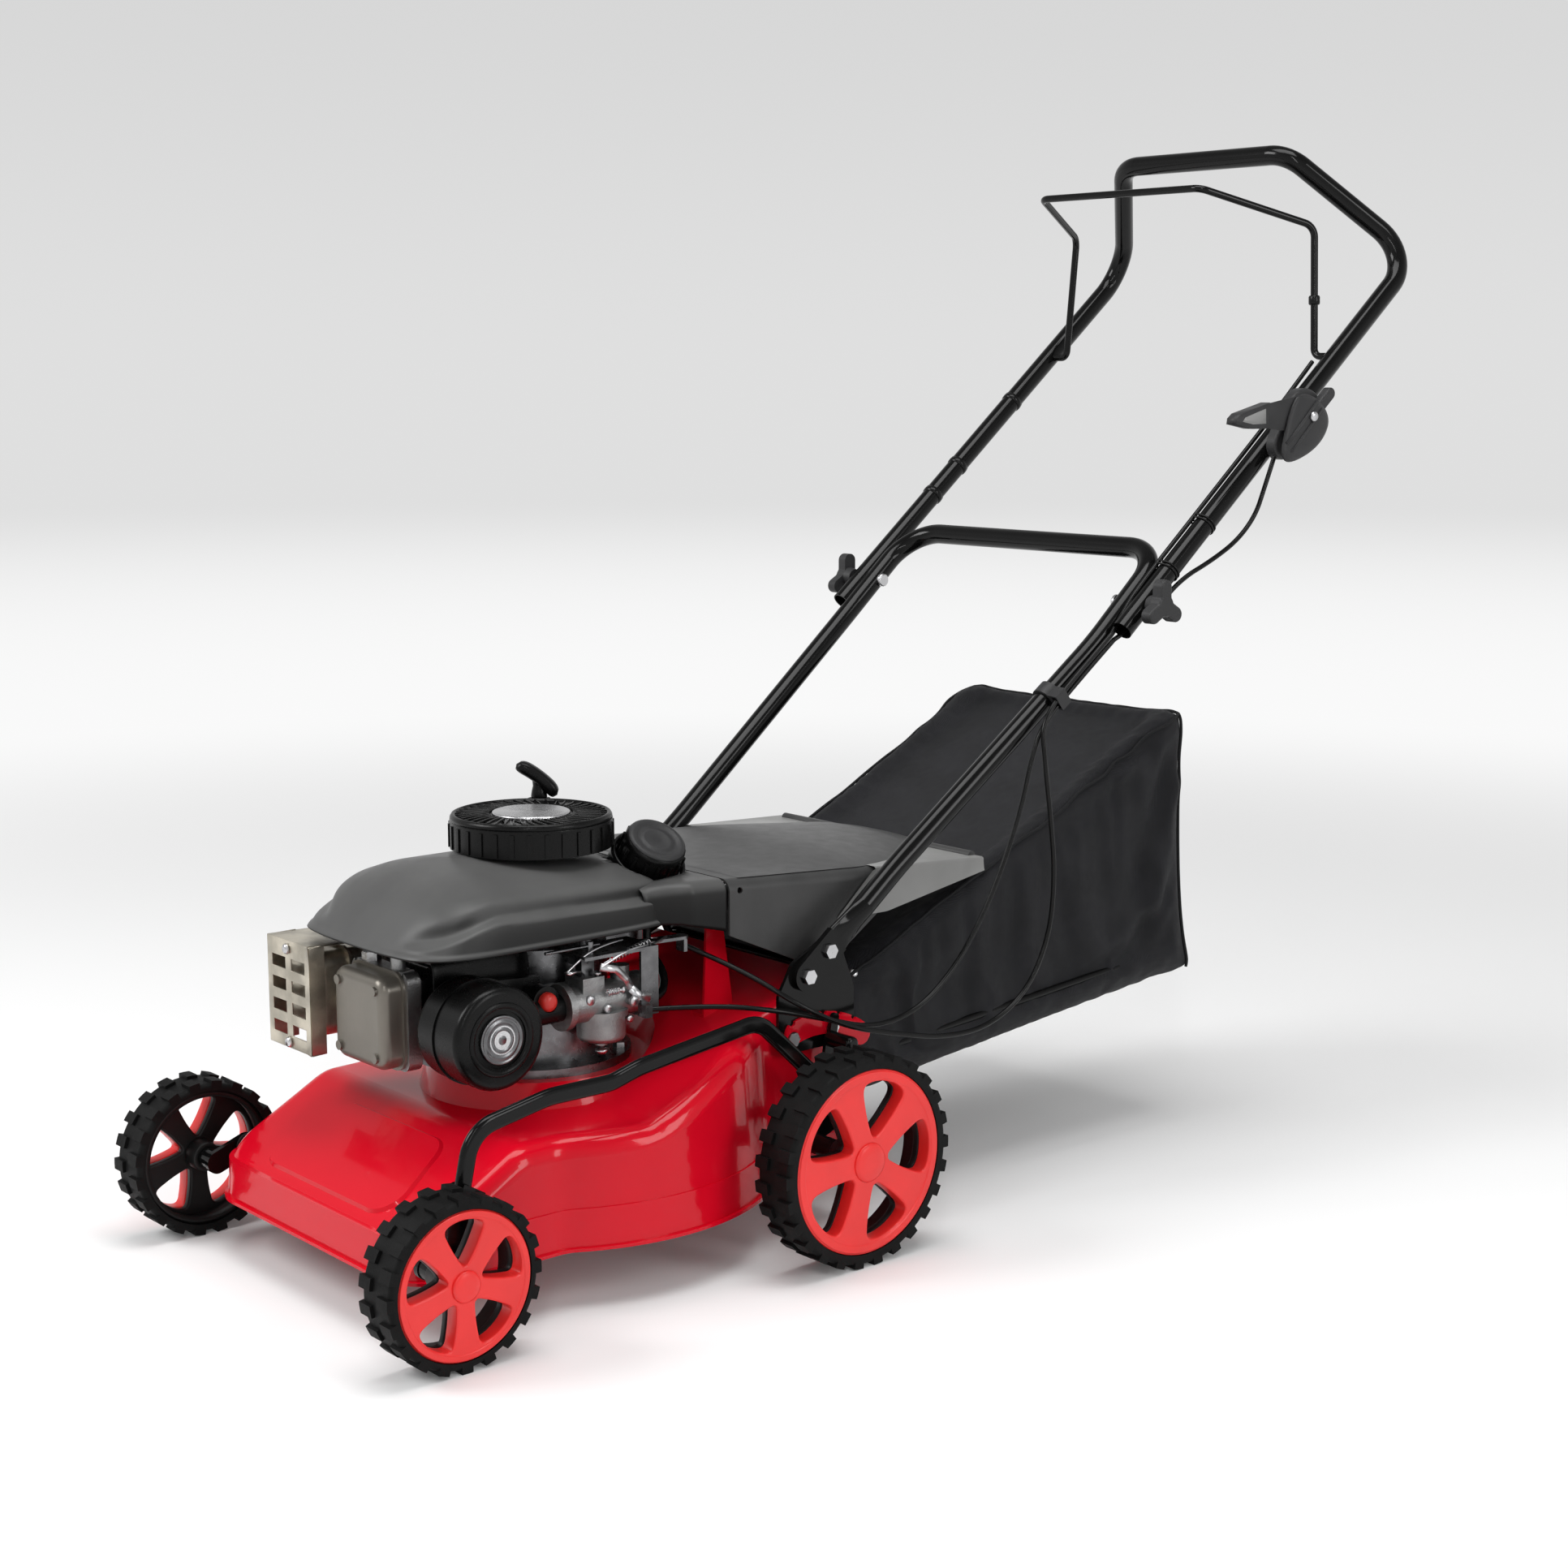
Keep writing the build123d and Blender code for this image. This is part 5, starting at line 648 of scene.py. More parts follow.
def grip_bar():
    """Flattened bar with full ends and a waist for two fingers."""
    across = GRIP_WAY.cross(Vector(UP)).normalized()
    over = across.cross(GRIP_WAY)
    sections = []
    for i in range(GRIP_SECTIONS + 1):
        s = -1 + 2 * i / GRIP_SECTIONS
        end = max(0, 1 - abs(s) ** GRIP_END_POWER) ** 0.5
        wide, thick = ((waist + fuller * s * s) * end + 0.05 for waist, fuller in (GRIP_WIDE, GRIP_THICK))
        middle_at = GRIP_MID + GRIP_WAY * (GRIP_HALF_LEN * s) + over * (-GRIP_ARCH * s * s)
        sections.append([at(*(middle_at + across * wide * signed_power(math.cos(a), GRIP_SQUARE)
                              + over * thick * signed_power(math.sin(a), GRIP_SQUARE)))
                         for a in circle(GRIP_STEPS)])
    return loft("grip_bar", sections)


grip_stem = lathe("grip_stem", [
    (3, 0), (7.6, 0), (8, 2), (7.2, 7), (6, 12), (6.4, 16), (6.8, 20), (3, 21)],
    at(*GRIP_AT, GRIP_FOOT), UP, 36)
grip = assembled("starter_grip_form", [grip_bar(), grip_stem], "engine_plastic", "starter_grip")
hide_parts("starter_grip")

# Air filter: turned badge with rings, and a raised ring on the cover

FILTER_AT = at(140, -100, 245)
turned("filter_badge_rings", [
    (0, 1.7), (4, 1.7), (5, 0.9), (8, 0.9), (9, 2), (11.5, 2), (12.5, 0.8), (14.5, 0.8),
    (15.5, 1.6), (17.5, 1.6), (18.3, 0.7), (20, 0.7), (20.6, 1.4), (22, 1.2), (22.4, -0.6), (0, -0.6)],
    FILTER_AT, LEFT, "dull_steel", "deck", steps=72)
turned("filter_cover_ring", [
    (28, -0.2), (29, 1), (31, 1.4), (33, 1), (34, -0.2), (31, -0.8), (28, -0.2)],
    FILTER_AT, LEFT, "engine_plastic", "deck", steps=72)


# Wheels: red covers with deep rounded windows, and the black cores behind them

# Half a window: share of the cover's radius and angle from the window's middle
WINDOW = ((0.275, 0), (0.28, 8.5), (0.33, 15), (0.44, 20), (0.55, 22.5), (0.66, 23.5), (0.77, 23.5),
          (0.845, 20), (0.87, 11), (0.875, 0))
WINDOWS = 5
WINDOW_MIDDLE = 0.6
COVER_DEEP = 16.0
COVER_BEVEL = 2.0
COVER_GAP = 0.3
COVER_POINTS = 96
CORE_DEEP = 8.0
CORE_SUNK = 0.2 - COVER_DEEP

# Turned forms: dome in shares of the hub's radius, lip in shares of the cover's, barrel from the cover's edge
HUB_SHARE = 0.21
DOME = ((0, 3.9), (0.45, 3.8), (0.8, 3.2), (0.96, 2), (1.04, -0.6), (0, -0.6))
LIP = ((0.885, -0.3), (0.90, 0.9), (0.965, 0.9), (0.985, -0.5), (0.885, -0.3))
BARREL = ((-4, -5.2), (-0.2, -5.2), (-0.2, -41.6), (-6, -41.6), (-5, -22), (-4, -5.2))
HUB_TUBE = ((6.3, -5.2), (16, -5.2), (14, -41), (13, -41.6), (6.3, -41.6), (6.3, -5.2))
WHEEL_MIDDLE = Vector((0, 0, 0))

# Radius of the cover, its outer face's x, the axle's y and z, and the turn of the windows
WHEELS = {"front": (65.9, 246.6, -211.4, 76.2, 90), "rear": (88.4, 279.8, 211.4, 101.6, 74)}


def onto_wheel(mesh, side, face_x, y, z):
    """Stands a mesh lying in its own plane up against a wheel's outer face."""
    for vertex in mesh.vertices:
        a, b, h = vertex.co
        vertex.co = Vector((side * h, side * a, b)) + at(side * face_x, y, z)
    mesh.update()
    return mesh


def cover_plate(radius, turn, top, deep):
    """Round plate with five windows and rolled edges: the height of its outer face and its depth."""
    line = put(bpy.data.curves.new("cover_plate", "CURVE"), dimensions="2D", fill_mode="BOTH",
               extrude=(deep / 2 - COVER_BEVEL) / 1000, bevel_depth=COVER_BEVEL / 1000, bevel_resolution=3,
               resolution_u=6)
    half = [(radius * r + math.copysign(COVER_BEVEL, r - WINDOW_MIDDLE), angle) for r, angle in WINDOW]
    around = half + [(r, -angle) for r, angle in reversed(half[1:-1])]
    outlines = [[(radius - COVER_BEVEL - COVER_GAP, 360 / COVER_POINTS * i) for i in range(COVER_POINTS)]]
    outlines += [[(r, angle + turn + 360 / WINDOWS * i) for r, angle in around] for i in range(WINDOWS)]
    for outline in outlines:
        polar = [(r, math.radians(angle)) for r, angle in outline]
        add_line(line, [(r * math.cos(a) / 1000, r * math.sin(a) / 1000, 0) for r, a in polar], True)
    mesh = as_mesh("cover_plate", line)
    for vertex in mesh.vertices:
        vertex.co.z += (top - deep / 2) / 1000
    mesh.update()
    return mesh


for end, (radius, face_x, wheel_y, wheel_z, turn) in WHEELS.items():
    hub = HUB_SHARE * radius
    for hand, side in (("left", 1), ("right", -1)):
        wheel = "%s_%s" % (end, hand)
        body = "wheel_" + wheel
        face_at = (side, face_x, wheel_y, wheel_z)
        dome = lathe("dome", [(r * hub, h) for r, h in DOME], WHEEL_MIDDLE, UP)
        lip = lathe("lip", [(r * radius, h) for r, h in LIP], WHEEL_MIDDLE, UP, 96)
        cover_form = joined("wheel_cover", [cover_plate(radius, turn, 0, COVER_DEEP), dome, lip])
        cover = piece("wheel_cover_form_" + wheel, onto_wheel(cover_form, *face_at), "cover_red", body)
        for face in cover.data.polygons:
            face.use_smooth = abs(face.normal.x) < 0.999
        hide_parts("wheel_cover_" + wheel)
        barrel = lathe("barrel", [(radius + r, h) for r, h in BARREL], WHEEL_MIDDLE, UP, 96)
        hub_tube = lathe("hub_tube", HUB_TUBE, WHEEL_MIDDLE, UP)
        core_form = joined("wheel_core", [barrel, hub_tube, cover_plate(radius, turn, CORE_SUNK, CORE_DEEP)])
        core = piece("wheel_core_form_" + wheel, onto_wheel(core_form, *face_at), "core_black", body)
        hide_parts("wheel_core_" + wheel)

# Black air guide round the cylinder, pulled in at its rear

GUIDE_SECTION = ((57, 214), (60, 222), (61, 240), (61, 285), (59, 300), (52, 309),
                 (30, 316))
GUIDE_Y = -120.0
GUIDE_RUN = 118.0
GUIDE_ROWS = 14
GUIDE_PULL = 12.0
GUIDE_PULL_Y = (-30, 0)
GUIDE_WALL = 0.002

guide_rows = []
for i in range(GUIDE_ROWS + 1):
    y = GUIDE_Y + GUIDE_RUN * i / GUIDE_ROWS
    pulled = GUIDE_PULL * smooth(y, *GUIDE_PULL_Y)
    guide_rows.append([at(x - pulled, y, z) for x, z in GUIDE_SECTION])
guide = piece("air_guide", loft("air_guide", guide_rows, closed=False), "engine_plastic", "deck")
walled(guide, GUIDE_WALL)
modified(guide, "SUBSURF", render_levels=2)

# Muffler guard: pressed plate with two upright rows of four slots and folded edges

GUARD_X = (-134, -126, -101, -91, -66, -58)
GUARD_Z = (202, 214, 225, 235, 246, 256, 267, 277, 288, 305)
GUARD_FRONT = -177.5
GUARD_BACK = (-132, 304)
GUARD_FOLDS = (30, 16)
GUARD_WALL = 0.0018
GUARD_EDGE = 0.0022
GUARD_SCREW = ((0, 3.2), (3, 3), (4.6, 1.8), (5.2, 0), (0, -1))
GUARD_SCREWS_AT = ((-96, 208), (-96, 297))

columns, rows = len(GUARD_X), len(GUARD_Z)
guard_points = [at(x, GUARD_FRONT, z) for z in GUARD_Z for x in GUARD_X]
guard_faces = []
for row in range(rows - 1):
    for column in range(columns - 1):
        if row % 2 and column % 2:
            continue
        first = row * columns + column
        guard_faces.append((first, first + 1, first + columns + 1, first + columns))
start = len(guard_points)
top = start - columns
guard_points += [at(x, *GUARD_BACK) for x in GUARD_X]
guard_faces += [(top + i, top + i + 1, start + i + 1, start + i) for i in range(columns - 1)]
for column, fold in zip((0, columns - 1), GUARD_FOLDS):
    start = len(guard_points)
    guard_points += [at(GUARD_X[column], GUARD_FRONT + fold, z) for z in GUARD_Z]
    guard_faces += [(i * columns + column, (i + 1) * columns + column, start + i + 1, start + i)
                    for i in range(rows - 1)]
guard = piece("muffler_guard_form", mesh_of("muffler_guard_form", guard_points, guard_faces), "muffler_steel",
              "deck")
walled(guard, GUARD_WALL)
modified(guard, "BEVEL", width=GUARD_EDGE, segments=3, limit_method="ANGLE")
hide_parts("muffler_guard")
assembled("guard_screws", [lathe("screw", GUARD_SCREW, at(x, GUARD_FRONT - 1, z), FRONT, 20)
                           for x, z in GUARD_SCREWS_AT], "steel", "deck")

# Carburettor: throttle arm, choke arm, springs, rods and screws

COIL_STEPS = 8
COIL_FROM = 0.12
COIL_SHARE = 0.76


def spring(name, start, end, radius, turns, wire):
    """Coil spring between two points."""
    way = end - start
    axis = way.normalized()
    side = axis.orthogonal().normalized()
    across = axis.cross(side)
    points = [start]
    for i in range(turns * COIL_STEPS + 1):
        turn = 2 * math.pi * i / COIL_STEPS
        share = COIL_FROM + COIL_SHARE * i / (turns * COIL_STEPS)
        points.append(start + way * share + (side * math.cos(turn) + across * math.sin(turn)) * radius)
    return as_mesh(name, curve_of(name, points + [end], wire))


def rod(name, points, radius):
    """Bent wire through points in millimetres."""
    return as_mesh(name, curve_of(name, [at(*p) for p in points], radius))


def arm(points, width, thick, normal):
    """Flat arm along points, square to a normal."""
    normal = Vector(normal)
    up = normal * thick / 2
    sections = []
    for i, point in enumerate(points):
        ahead = Vector(points[min(i + 1, len(points) - 1)]) - Vector(points[max(i - 1, 0)])
        side = ahead.normalized().cross(normal) * width / 2
        corners = (-side - up, side - up, side + up, -side + up)
        sections.append([at(*(Vector(point) + corner)) for corner in corners])
    return loft("arm", sections)


def screw(place, way, size):
    """Screw with a rounded head, standing in millimetres."""
    head = [(0, size * 0.8), (size * 0.75, size * 0.75), (size, size * 0.4), (size, 0)]
    shank = [(size * 0.5, 0), (size * 0.5, -size), (0, -size)]
    return lathe("screw", head + shank, at(*place), way, 18)


linkage = [
    arm([(119, 58, 262), (120, 52, 272), (121, 40, 283), (121, 22, 288)], 7, 1.6, LEFT),
    arm([(119, 58, 262), (121, 66, 254), (122, 78, 250)], 8, 1.6, LEFT),
    arm([(100, 16, 277), (106, 8, 283), (112, -2, 286), (116, -12, 286)], 7, 1.8, UP),
    rod("link_rod", [(121, 24, 288), (122, 44, 297), (119, 66, 300), (112, 92, 297), (104, 112, 300)],
        0.0012),
    rod("choke_rod", [(115, -11, 287), (116, 6, 300), (112, 34, 306), (104, 60, 305)], 0.0011),
    spring("idle_spring", at(118, 30, 262), at(118, 46, 262), 0.0030, 6, 0.0006),
    spring("governor_spring", at(121, 26, 291), at(110, 96, 303), 0.0032, 13, 0.0005),
    screw((114.5, 34, 246), LEFT, 4.6), screw((112, 16, 256), LEFT, 5),
    screw((96.5, 40, 203), (0, 0, -1), 6), screw((118, 48, 262), (0, 1, 0), 3.4),
    screw((114, 60, 232), LEFT, 3.8), screw((119.5, 60, 250), LEFT, 5.2),
    screw((108, 28, 278), UP, 3.6), screw((90, 14, 277.5), UP, 3.6)]
assembled("carburettor_linkage", linkage, "steel", "deck")

# Rear flap: its plan and slope, the raised middle, and pale skins over its rear corners, their paleness
# partly a painted reflection of the lamps

FLAP_HINGE_Y = 104.0
FLAP_RUN = 370.0
FLAP_HALF = 136.0
FLAP_WIDER = 22.0
FLAP_HIGH = 356.0
FLAP_FALL = 18.0
CROWN_Y = 176.0
CROWN_END_Y = 476.0
CROWN_ROWS = 45
CROWN_ACROSS = [-1 + 2 * j / 36 for j in range(37)]
CROWN_LIFT = 12.0
CROWN_RISES_Y = (178, 340)
CROWN_SINKS_Y = (440, CROWN_END_Y)
CROWN_SINK = 0.45
CROWN_POWER = 2.6
CROWN_OVER = 0.15
CROWN_INSET = 8.0
CROWN_NARROWS_Y = (314, 496)
CROWN_NARROWER = 64.0
CORNER_Y = 288.0
CORNER_RUN = 189.0
CORNER_ROWS = 48
CORNER_TOP_Y = 334.0
CORNER_LOW = 299.0
CORNER_CLIMBS_Y = 349.0
CORNER_CLIMB = 0.2
CORNER_SLANT = 0.95
CORNER_OVER = 0.5
CORNER_OUT = 1.2
CORNER_FLARE = 1.6
BEND_IN = 3.0
BEND_DOWN = 2.5


def flap_half(y):
    return FLAP_HALF + (y - FLAP_HINGE_Y) * FLAP_WIDER / FLAP_RUN


def flap_height(y):
    return FLAP_HIGH - (y - FLAP_HINGE_Y) * FLAP_FALL / FLAP_RUN


def crown_edge(y):
    """Half width of the raised middle, which narrows between the rear corners."""
    return flap_half(y) - CROWN_INSET - CROWN_NARROWER * smooth(y, *CROWN_NARROWS_Y)


crown_rows = []
for i in range(CROWN_ROWS + 1):
    y = CROWN_Y + (CROWN_END_Y - CROWN_Y) * i / CROWN_ROWS
    lift = CROWN_LIFT * smooth(y, *CROWN_RISES_Y) * (1 - CROWN_SINK * smooth(y, *CROWN_SINKS_Y))
    edge, foot = crown_edge(y), flap_height(y) + CROWN_OVER
    crown_rows.append([at(edge * u, y, foot + lift * (1 - abs(u) ** CROWN_POWER)) for u in CROWN_ACROSS])
crown_rows.append([at(crown_edge(CROWN_END_Y) * u, CROWN_END_Y + 1, flap_height(CROWN_END_Y) - 2)
                   for u in CROWN_ACROSS])
piece("flap_crown", loft("flap_crown", crown_rows, closed=False), "flap_plastic", "flap")


def flange(hand, side):
    """Pale skin over the flap's rear corner, its light grey partly its own plastic and partly a painted
    reflection of the lamps: its flat top beside the crown, its rounded edge and its side.
    """
    sides, tops = [], []
    for i in range(CORNER_ROWS + 1):
        y = CORNER_Y + CORNER_RUN * i / CORNER_ROWS
        top_z = flap_height(y) + CORNER_OVER
        low_z = CORNER_LOW + CORNER_CLIMB * max(0, y - CORNER_CLIMBS_Y)
        high_z = min(top_z - BEND_DOWN, low_z + 1.0 + (y - CORNER_Y) * CORNER_SLANT)
        outer = flap_half(y) + CORNER_OUT
        sides.append([at(side * (outer + CORNER_FLARE * (1 - k / 10) ** 2), y,
                         low_z + (high_z - low_z) * k / 10) for k in range(11)])
        if y >= CORNER_TOP_Y:
            fold = outer - BEND_IN
            bend = [(fold + BEND_IN * math.cos(a), top_z - BEND_DOWN + BEND_DOWN * math.sin(a))
                    for a in quarter(5)]
            inner = crown_edge(y) - 2.0
            flat = [(fold + (inner - fold) * k / 8, top_z) for k in range(1, 9)]
            tops.append([at(side * x, y, z) for x, z in bend + flat])
    assembled("flap_flange_" + hand, [loft("side", sides, closed=False), loft("top", tops, closed=False)],
              "flap_edge", "flap")


flange("left", 1)
flange("right", -1)

# Free cables between the clip on the handle and the engine

CABLE_R = 0.0025
THROTTLE_ROUTE = [
    (206.5, 614.2, 554.2), (205.4, 570, 521.2), (203, 515, 476.4), (201.5, 500, 441),
    (203.1, 486, 394.5), (202.6, 462.2, 339.6), (201.7, 432.9, 287.5), (200.5, 395.5, 240.9),
    (200.1, 346.5, 207.2), (199, 287.9, 200), (196, 231.5, 218), (185, 176.2, 234),
    (156.3, 124, 242), (125, 76, 240)]
BRAKE_ROUTE = [
    (206.5, 609.8, 559.8), (205.6, 566, 526.3), (205.6, 510.6, 482.1), (212.5, 508, 442),
    (213.5, 517, 384.5), (214.3, 524.3, 322.4), (214.2, 518.3, 260.6), (213.5, 488.2, 206.9),
    (212.3, 433.9, 178.4), (211.1, 371.9, 178.2), (210, 311.3, 192.4), (205.7, 251.2, 208.3),
    (195.5, 197, 237), (150.1, 167.5, 267), (106, 134, 288)]

for cord_name, route, cord_length in (("throttle_cable", THROTTLE_ROUTE, 0.7425),
                                      ("brake_cable", BRAKE_ROUTE, 0.8333)):
    free = piece(cord_name + "_cord", curve_of(cord_name, [at(*p) for p in route], CABLE_R), "rubber", "deck")
    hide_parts(cord_name)
    at(*route[0])

# Cables on the upper handle, carried on over the fold to meet the free ones

BOLT_Y = 648.0
BOLT_Z = 589.17
UPPER_TURN = math.radians(39.4)
THROTTLE_UPPER = [
    (231, 236.5, -4), (229, 205, -22), (228, 178, -36), (227, 140, -38),
    (226, 96, -27), (222, 56, -14.5), (220, 16, -13), (213, -24, -9)]
BRAKE_UPPER = [
    (204, 372, 13), (204.8, 330, 12), (205.6, 270, 11.2), (205.6, 140, 11.2),
    (205.6, 16, 11.2), (206, -20, 7)]


def off_upper(x, run, rise):
    """Point beside the upper handle: a run above the bolt and a rise square to the tube."""
    y = BOLT_Y + run * math.cos(UPPER_TURN) - rise * math.sin(UPPER_TURN)
    z = BOLT_Z + run * math.sin(UPPER_TURN) + rise * math.cos(UPPER_TURN)
    return at(x, y, z)


for run_name, spots, free_route in (("throttle_upper_cable", THROTTLE_UPPER, THROTTLE_ROUTE),
                                    ("brake_upper_cable", BRAKE_UPPER, BRAKE_ROUTE)):
    route = [off_upper(*spot) for spot in spots] + [at(*free_route[0])]
    held = piece(run_name, as_mesh(run_name, curve_of(run_name, route, CABLE_R)), "rubber", None)
    off_upper(210, -40, 0)
    off_upper(210, 12, 0)
    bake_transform(held)
    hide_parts("handle_cables")

# Bands on the far tube, cable ties on the near one, and a collar on the bail

TUBE_X = 214.0
TUBE_WAY = (0, math.cos(UPPER_TURN), math.sin(UPPER_TURN))
BAND = [(11.05, -4), (11.9, -3.6), (12.2, 0), (11.9, 3.6), (11.05, 4), (10.6, 0), (11.05, -4)]
BAND_RUNS = (146, 198, 315)
TIE_RUNS = (48, 52, 120, 124)
TIE_R = 11.6
TIE_WIRE = 0.0011
TIE_STEPS = 28
TIE_BULGE = 0.30
TIE_BULGE_TURN = math.radians(142)
COLLAR = [(3.9, -5), (5.4, -5), (6.2, -3.5), (6.2, 3.5), (5.4, 5), (3.9, 5)]
COLLAR_AT = at(181.1, 956.9, 902)
BAIL_LEG_WAY = (-9, 4.4, 140)


def tie(run):
    """Cable tie round the near tube and the cable beside it."""
    points = []
    for a in circle(TIE_STEPS):
        radius = TIE_R * (1 + TIE_BULGE * max(0, math.cos(a - TIE_BULGE_TURN)) ** 3)
        points.append(off_upper(TUBE_X + radius * math.cos(a), run, radius * math.sin(a)))
    return as_mesh("tie", curve_of("tie", points, TIE_WIRE, True))


assembled("tube_bands", [lathe("band", BAND, off_upper(-TUBE_X, run, 0), TUBE_WAY, 40)
                         for run in BAND_RUNS], "rubber", "upper_handle")
assembled("cable_ties", [tie(run) for run in TIE_RUNS], "rubber", "upper_handle")
turned("bail_collar", COLLAR, COLLAR_AT, BAIL_LEG_WAY, "rubber", "bail", steps=28)

# Throttle: paddle on the lever, egg-shaped cover with two ribs, and its screw; outlines in y and z

PADDLE_TIP = [(748, 771), (749, 777), (756, 782), (803, 793), (804, 780), (803, 766), (776, 766)]
PADDLE_ARM = [(800, 792), (845, 799), (868, 790), (868, 764), (823, 764), (800, 766)]
PADDLE_FACE = [(758, 773.5), (762, 778), (796, 787), (797, 771), (776, 770.5)]
PADDLE_EDGE = 0.8
PADDLE_INSET = 0.96
THROTTLE_OUTLINE = [(848, 804), (882, 797), (902, 776), (893, 755), (868, 738), (832, 728), (820, 738),
                    (826, 762), (834, 787)]
THROTTLE_DOME = ((248.3, 0.97), (249.3, 1), (251, 0.97), (252.4, 0.86), (253, 0.6), (253.2, 0.05))
THROTTLE_RIB = ((252.2, 830, 746), (253.2, 846, 760), (253.4, 866, 778), (252.4, 880, 790))
THROTTLE_RIB_OFF = ((-4, 4.5), (4, -4.5))


def stacked(outline, layers):
    """Form of an outline in y and z, scaled about its middle at each x."""
    middle_at = sum(outline, Vector((0, 0))) / len(outline)
    return loft("stacked", [[at(x, *(middle_at + (p - middle_at) * share)) for p in outline]
                            for x, share in layers])


def paddle(outline, x_low, x_high):
    """Flat form with eased rims."""
    return stacked([Vector(p) for p in outline], (
        (x_low, PADDLE_INSET), (x_low + PADDLE_EDGE, 1),
        (x_high - PADDLE_EDGE, 1), (x_high, PADDLE_INSET)))


def throttle_cover():
    """Domed cover over the throttle, its outline cut round at the corners, with two ribs."""
    outline = [Vector(p) for p in THROTTLE_OUTLINE]
    for _ in range(3):
        outline = [first.lerp(second, share) for first, second in zip(outline, outline[1:] + outline[:1])
                   for share in (0.25, 0.75)]
    ribs = [arm([(x, y + dy, z + dz) for x, y, z in THROTTLE_RIB], 3, 2.4, LEFT)
            for dy, dz in THROTTLE_RIB_OFF]
    return [stacked(outline, THROTTLE_DOME)] + ribs


assembled("throttle_paddle", [paddle(PADDLE_TIP, 234, 247.9), paddle(PADDLE_ARM, 245.8, 248)],
          "grey_plastic", "throttle_lever")
piece("throttle_paddle_face", paddle(PADDLE_FACE, 246, 248.2), "flap_edge", "throttle_lever")
assembled("throttle_cover", throttle_cover(), "grey_plastic", "upper_handle")
piece("throttle_screw", screw((252.8, 868, 778), LEFT, 5.5), "steel", "upper_handle")

# Starter rope, which stretches out of the drum behind its grip

ROPE_STEPS = 12
low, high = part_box("starter_rope")
middle = (low + high) / 2
rope_knots = [(middle.x, middle.y, low.z + (high.z - low.z) * i / ROPE_STEPS) for i in range(ROPE_STEPS + 1)]
rope_line = curve_of("starter_rope_line", rope_knots, (high.x - low.x) / 2)
rope = piece("starter_rope_tube", as_mesh("starter_rope_tube", rope_line), "rope", None)
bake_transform(rope)
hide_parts("starter_rope")

# Grass bag: cloth with the outer shape of the bag's solid, open at its mouth; lengths in metres

CLOTH_CELL = 0.009
CLOTH_FRAMES = 18
CLOTH_CAP = 0.013
CLOTH_WALL = 0.0016
BAG_MOUTH_Y = at(0, 297, 0).y
BAG_END_Y = at(0, 798, 0).y
BAG_CORNERS = {"top": ((150, 297, 243), (166, 782, 466)), "bottom": ((150, 297, 110), (166, 798, 170))}
LEVELS = ("top", "bottom")
SIDES = (-1, 1)


def bag_hull():
    """Closed shell round the bag's solid."""
    shell = bmesh.new()
    for vertex in nodes["grass_bag"].data.vertices:
        shell.verts.new(vertex.co)
    bmesh.ops.convex_hull(shell, input=shell.verts)
    bmesh.ops.delete(shell, geom=[v for v in shell.verts if not v.link_faces], context="VERTS")
    data = bpy.data.meshes.new("grass_bag_cloth")
    shell.to_mesh(data)
    shell.free()
    return data


bag = piece("grass_bag_cloth", bag_hull(), "bag_cloth", None)
modified(bag, "REMESH", mode="VOXEL", voxel_size=CLOTH_CELL)
bag_mesh = evaluated(bag)
bag.modifiers.clear()
bag.data = bag_mesh
shell = bmesh.new()
shell.from_mesh(bag_mesh)
mouth = [f for f in shell.faces if f.calc_center_median().y < BAG_MOUTH_Y + 0.004 and f.normal.y < -0.5]
bmesh.ops.delete(shell, geom=mouth, context="FACES")
shell.to_mesh(bag_mesh)
shell.free()


def edge_line(side, level):
    """Long seam of the bag on one side, top or bottom."""
    mouth_end, rear_end = BAG_CORNERS[level]
    return [at(side * x, y, z) for x, y, z in (mouth_end, rear_end)]


def distance_to(point, line):
    a, b = line
    t = min(1, max(0, (point - a).dot(b - a) / (b - a).length_squared))
    return (point - a - (b - a) * t).length


def nearest(point, lines):
    return min(distance_to(point, line) for line in lines)


# Seams are held by the wire frame: firmly at the mouth and round the rear, loosely along the sides

LONG_SEAMS = [edge_line(side, level) for side in SIDES for level in LEVELS]
REAR_SEAMS = [(edge_line(-1, level)[1], edge_line(1, level)[1]) for level in LEVELS]
REAR_SEAMS += [(edge_line(side, "top")[1], edge_line(side, "bottom")[1]) for side in SIDES]
LONG_HOLD = 0.55
MOUTH_HELD = (BAG_MOUTH_Y + 0.02, BAG_MOUTH_Y + 0.06)
REAR_HELD = (0.012, 0.045)
LONG_HELD = (0.012, 0.05)

rest = [v.co.copy() for v in bag.data.vertices]
pins = bag.vertex_groups.new(name="pins")
for index, co in enumerate(rest):
    at_mouth = 1 - smooth(co.y, *MOUTH_HELD)
    at_rear = 1 - smooth(nearest(co, REAR_SEAMS), *REAR_HELD)
    along = LONG_HOLD * (1 - smooth(nearest(co, LONG_SEAMS), *LONG_HELD))
    pins.add([index], max(at_mouth, at_rear, along), "REPLACE")

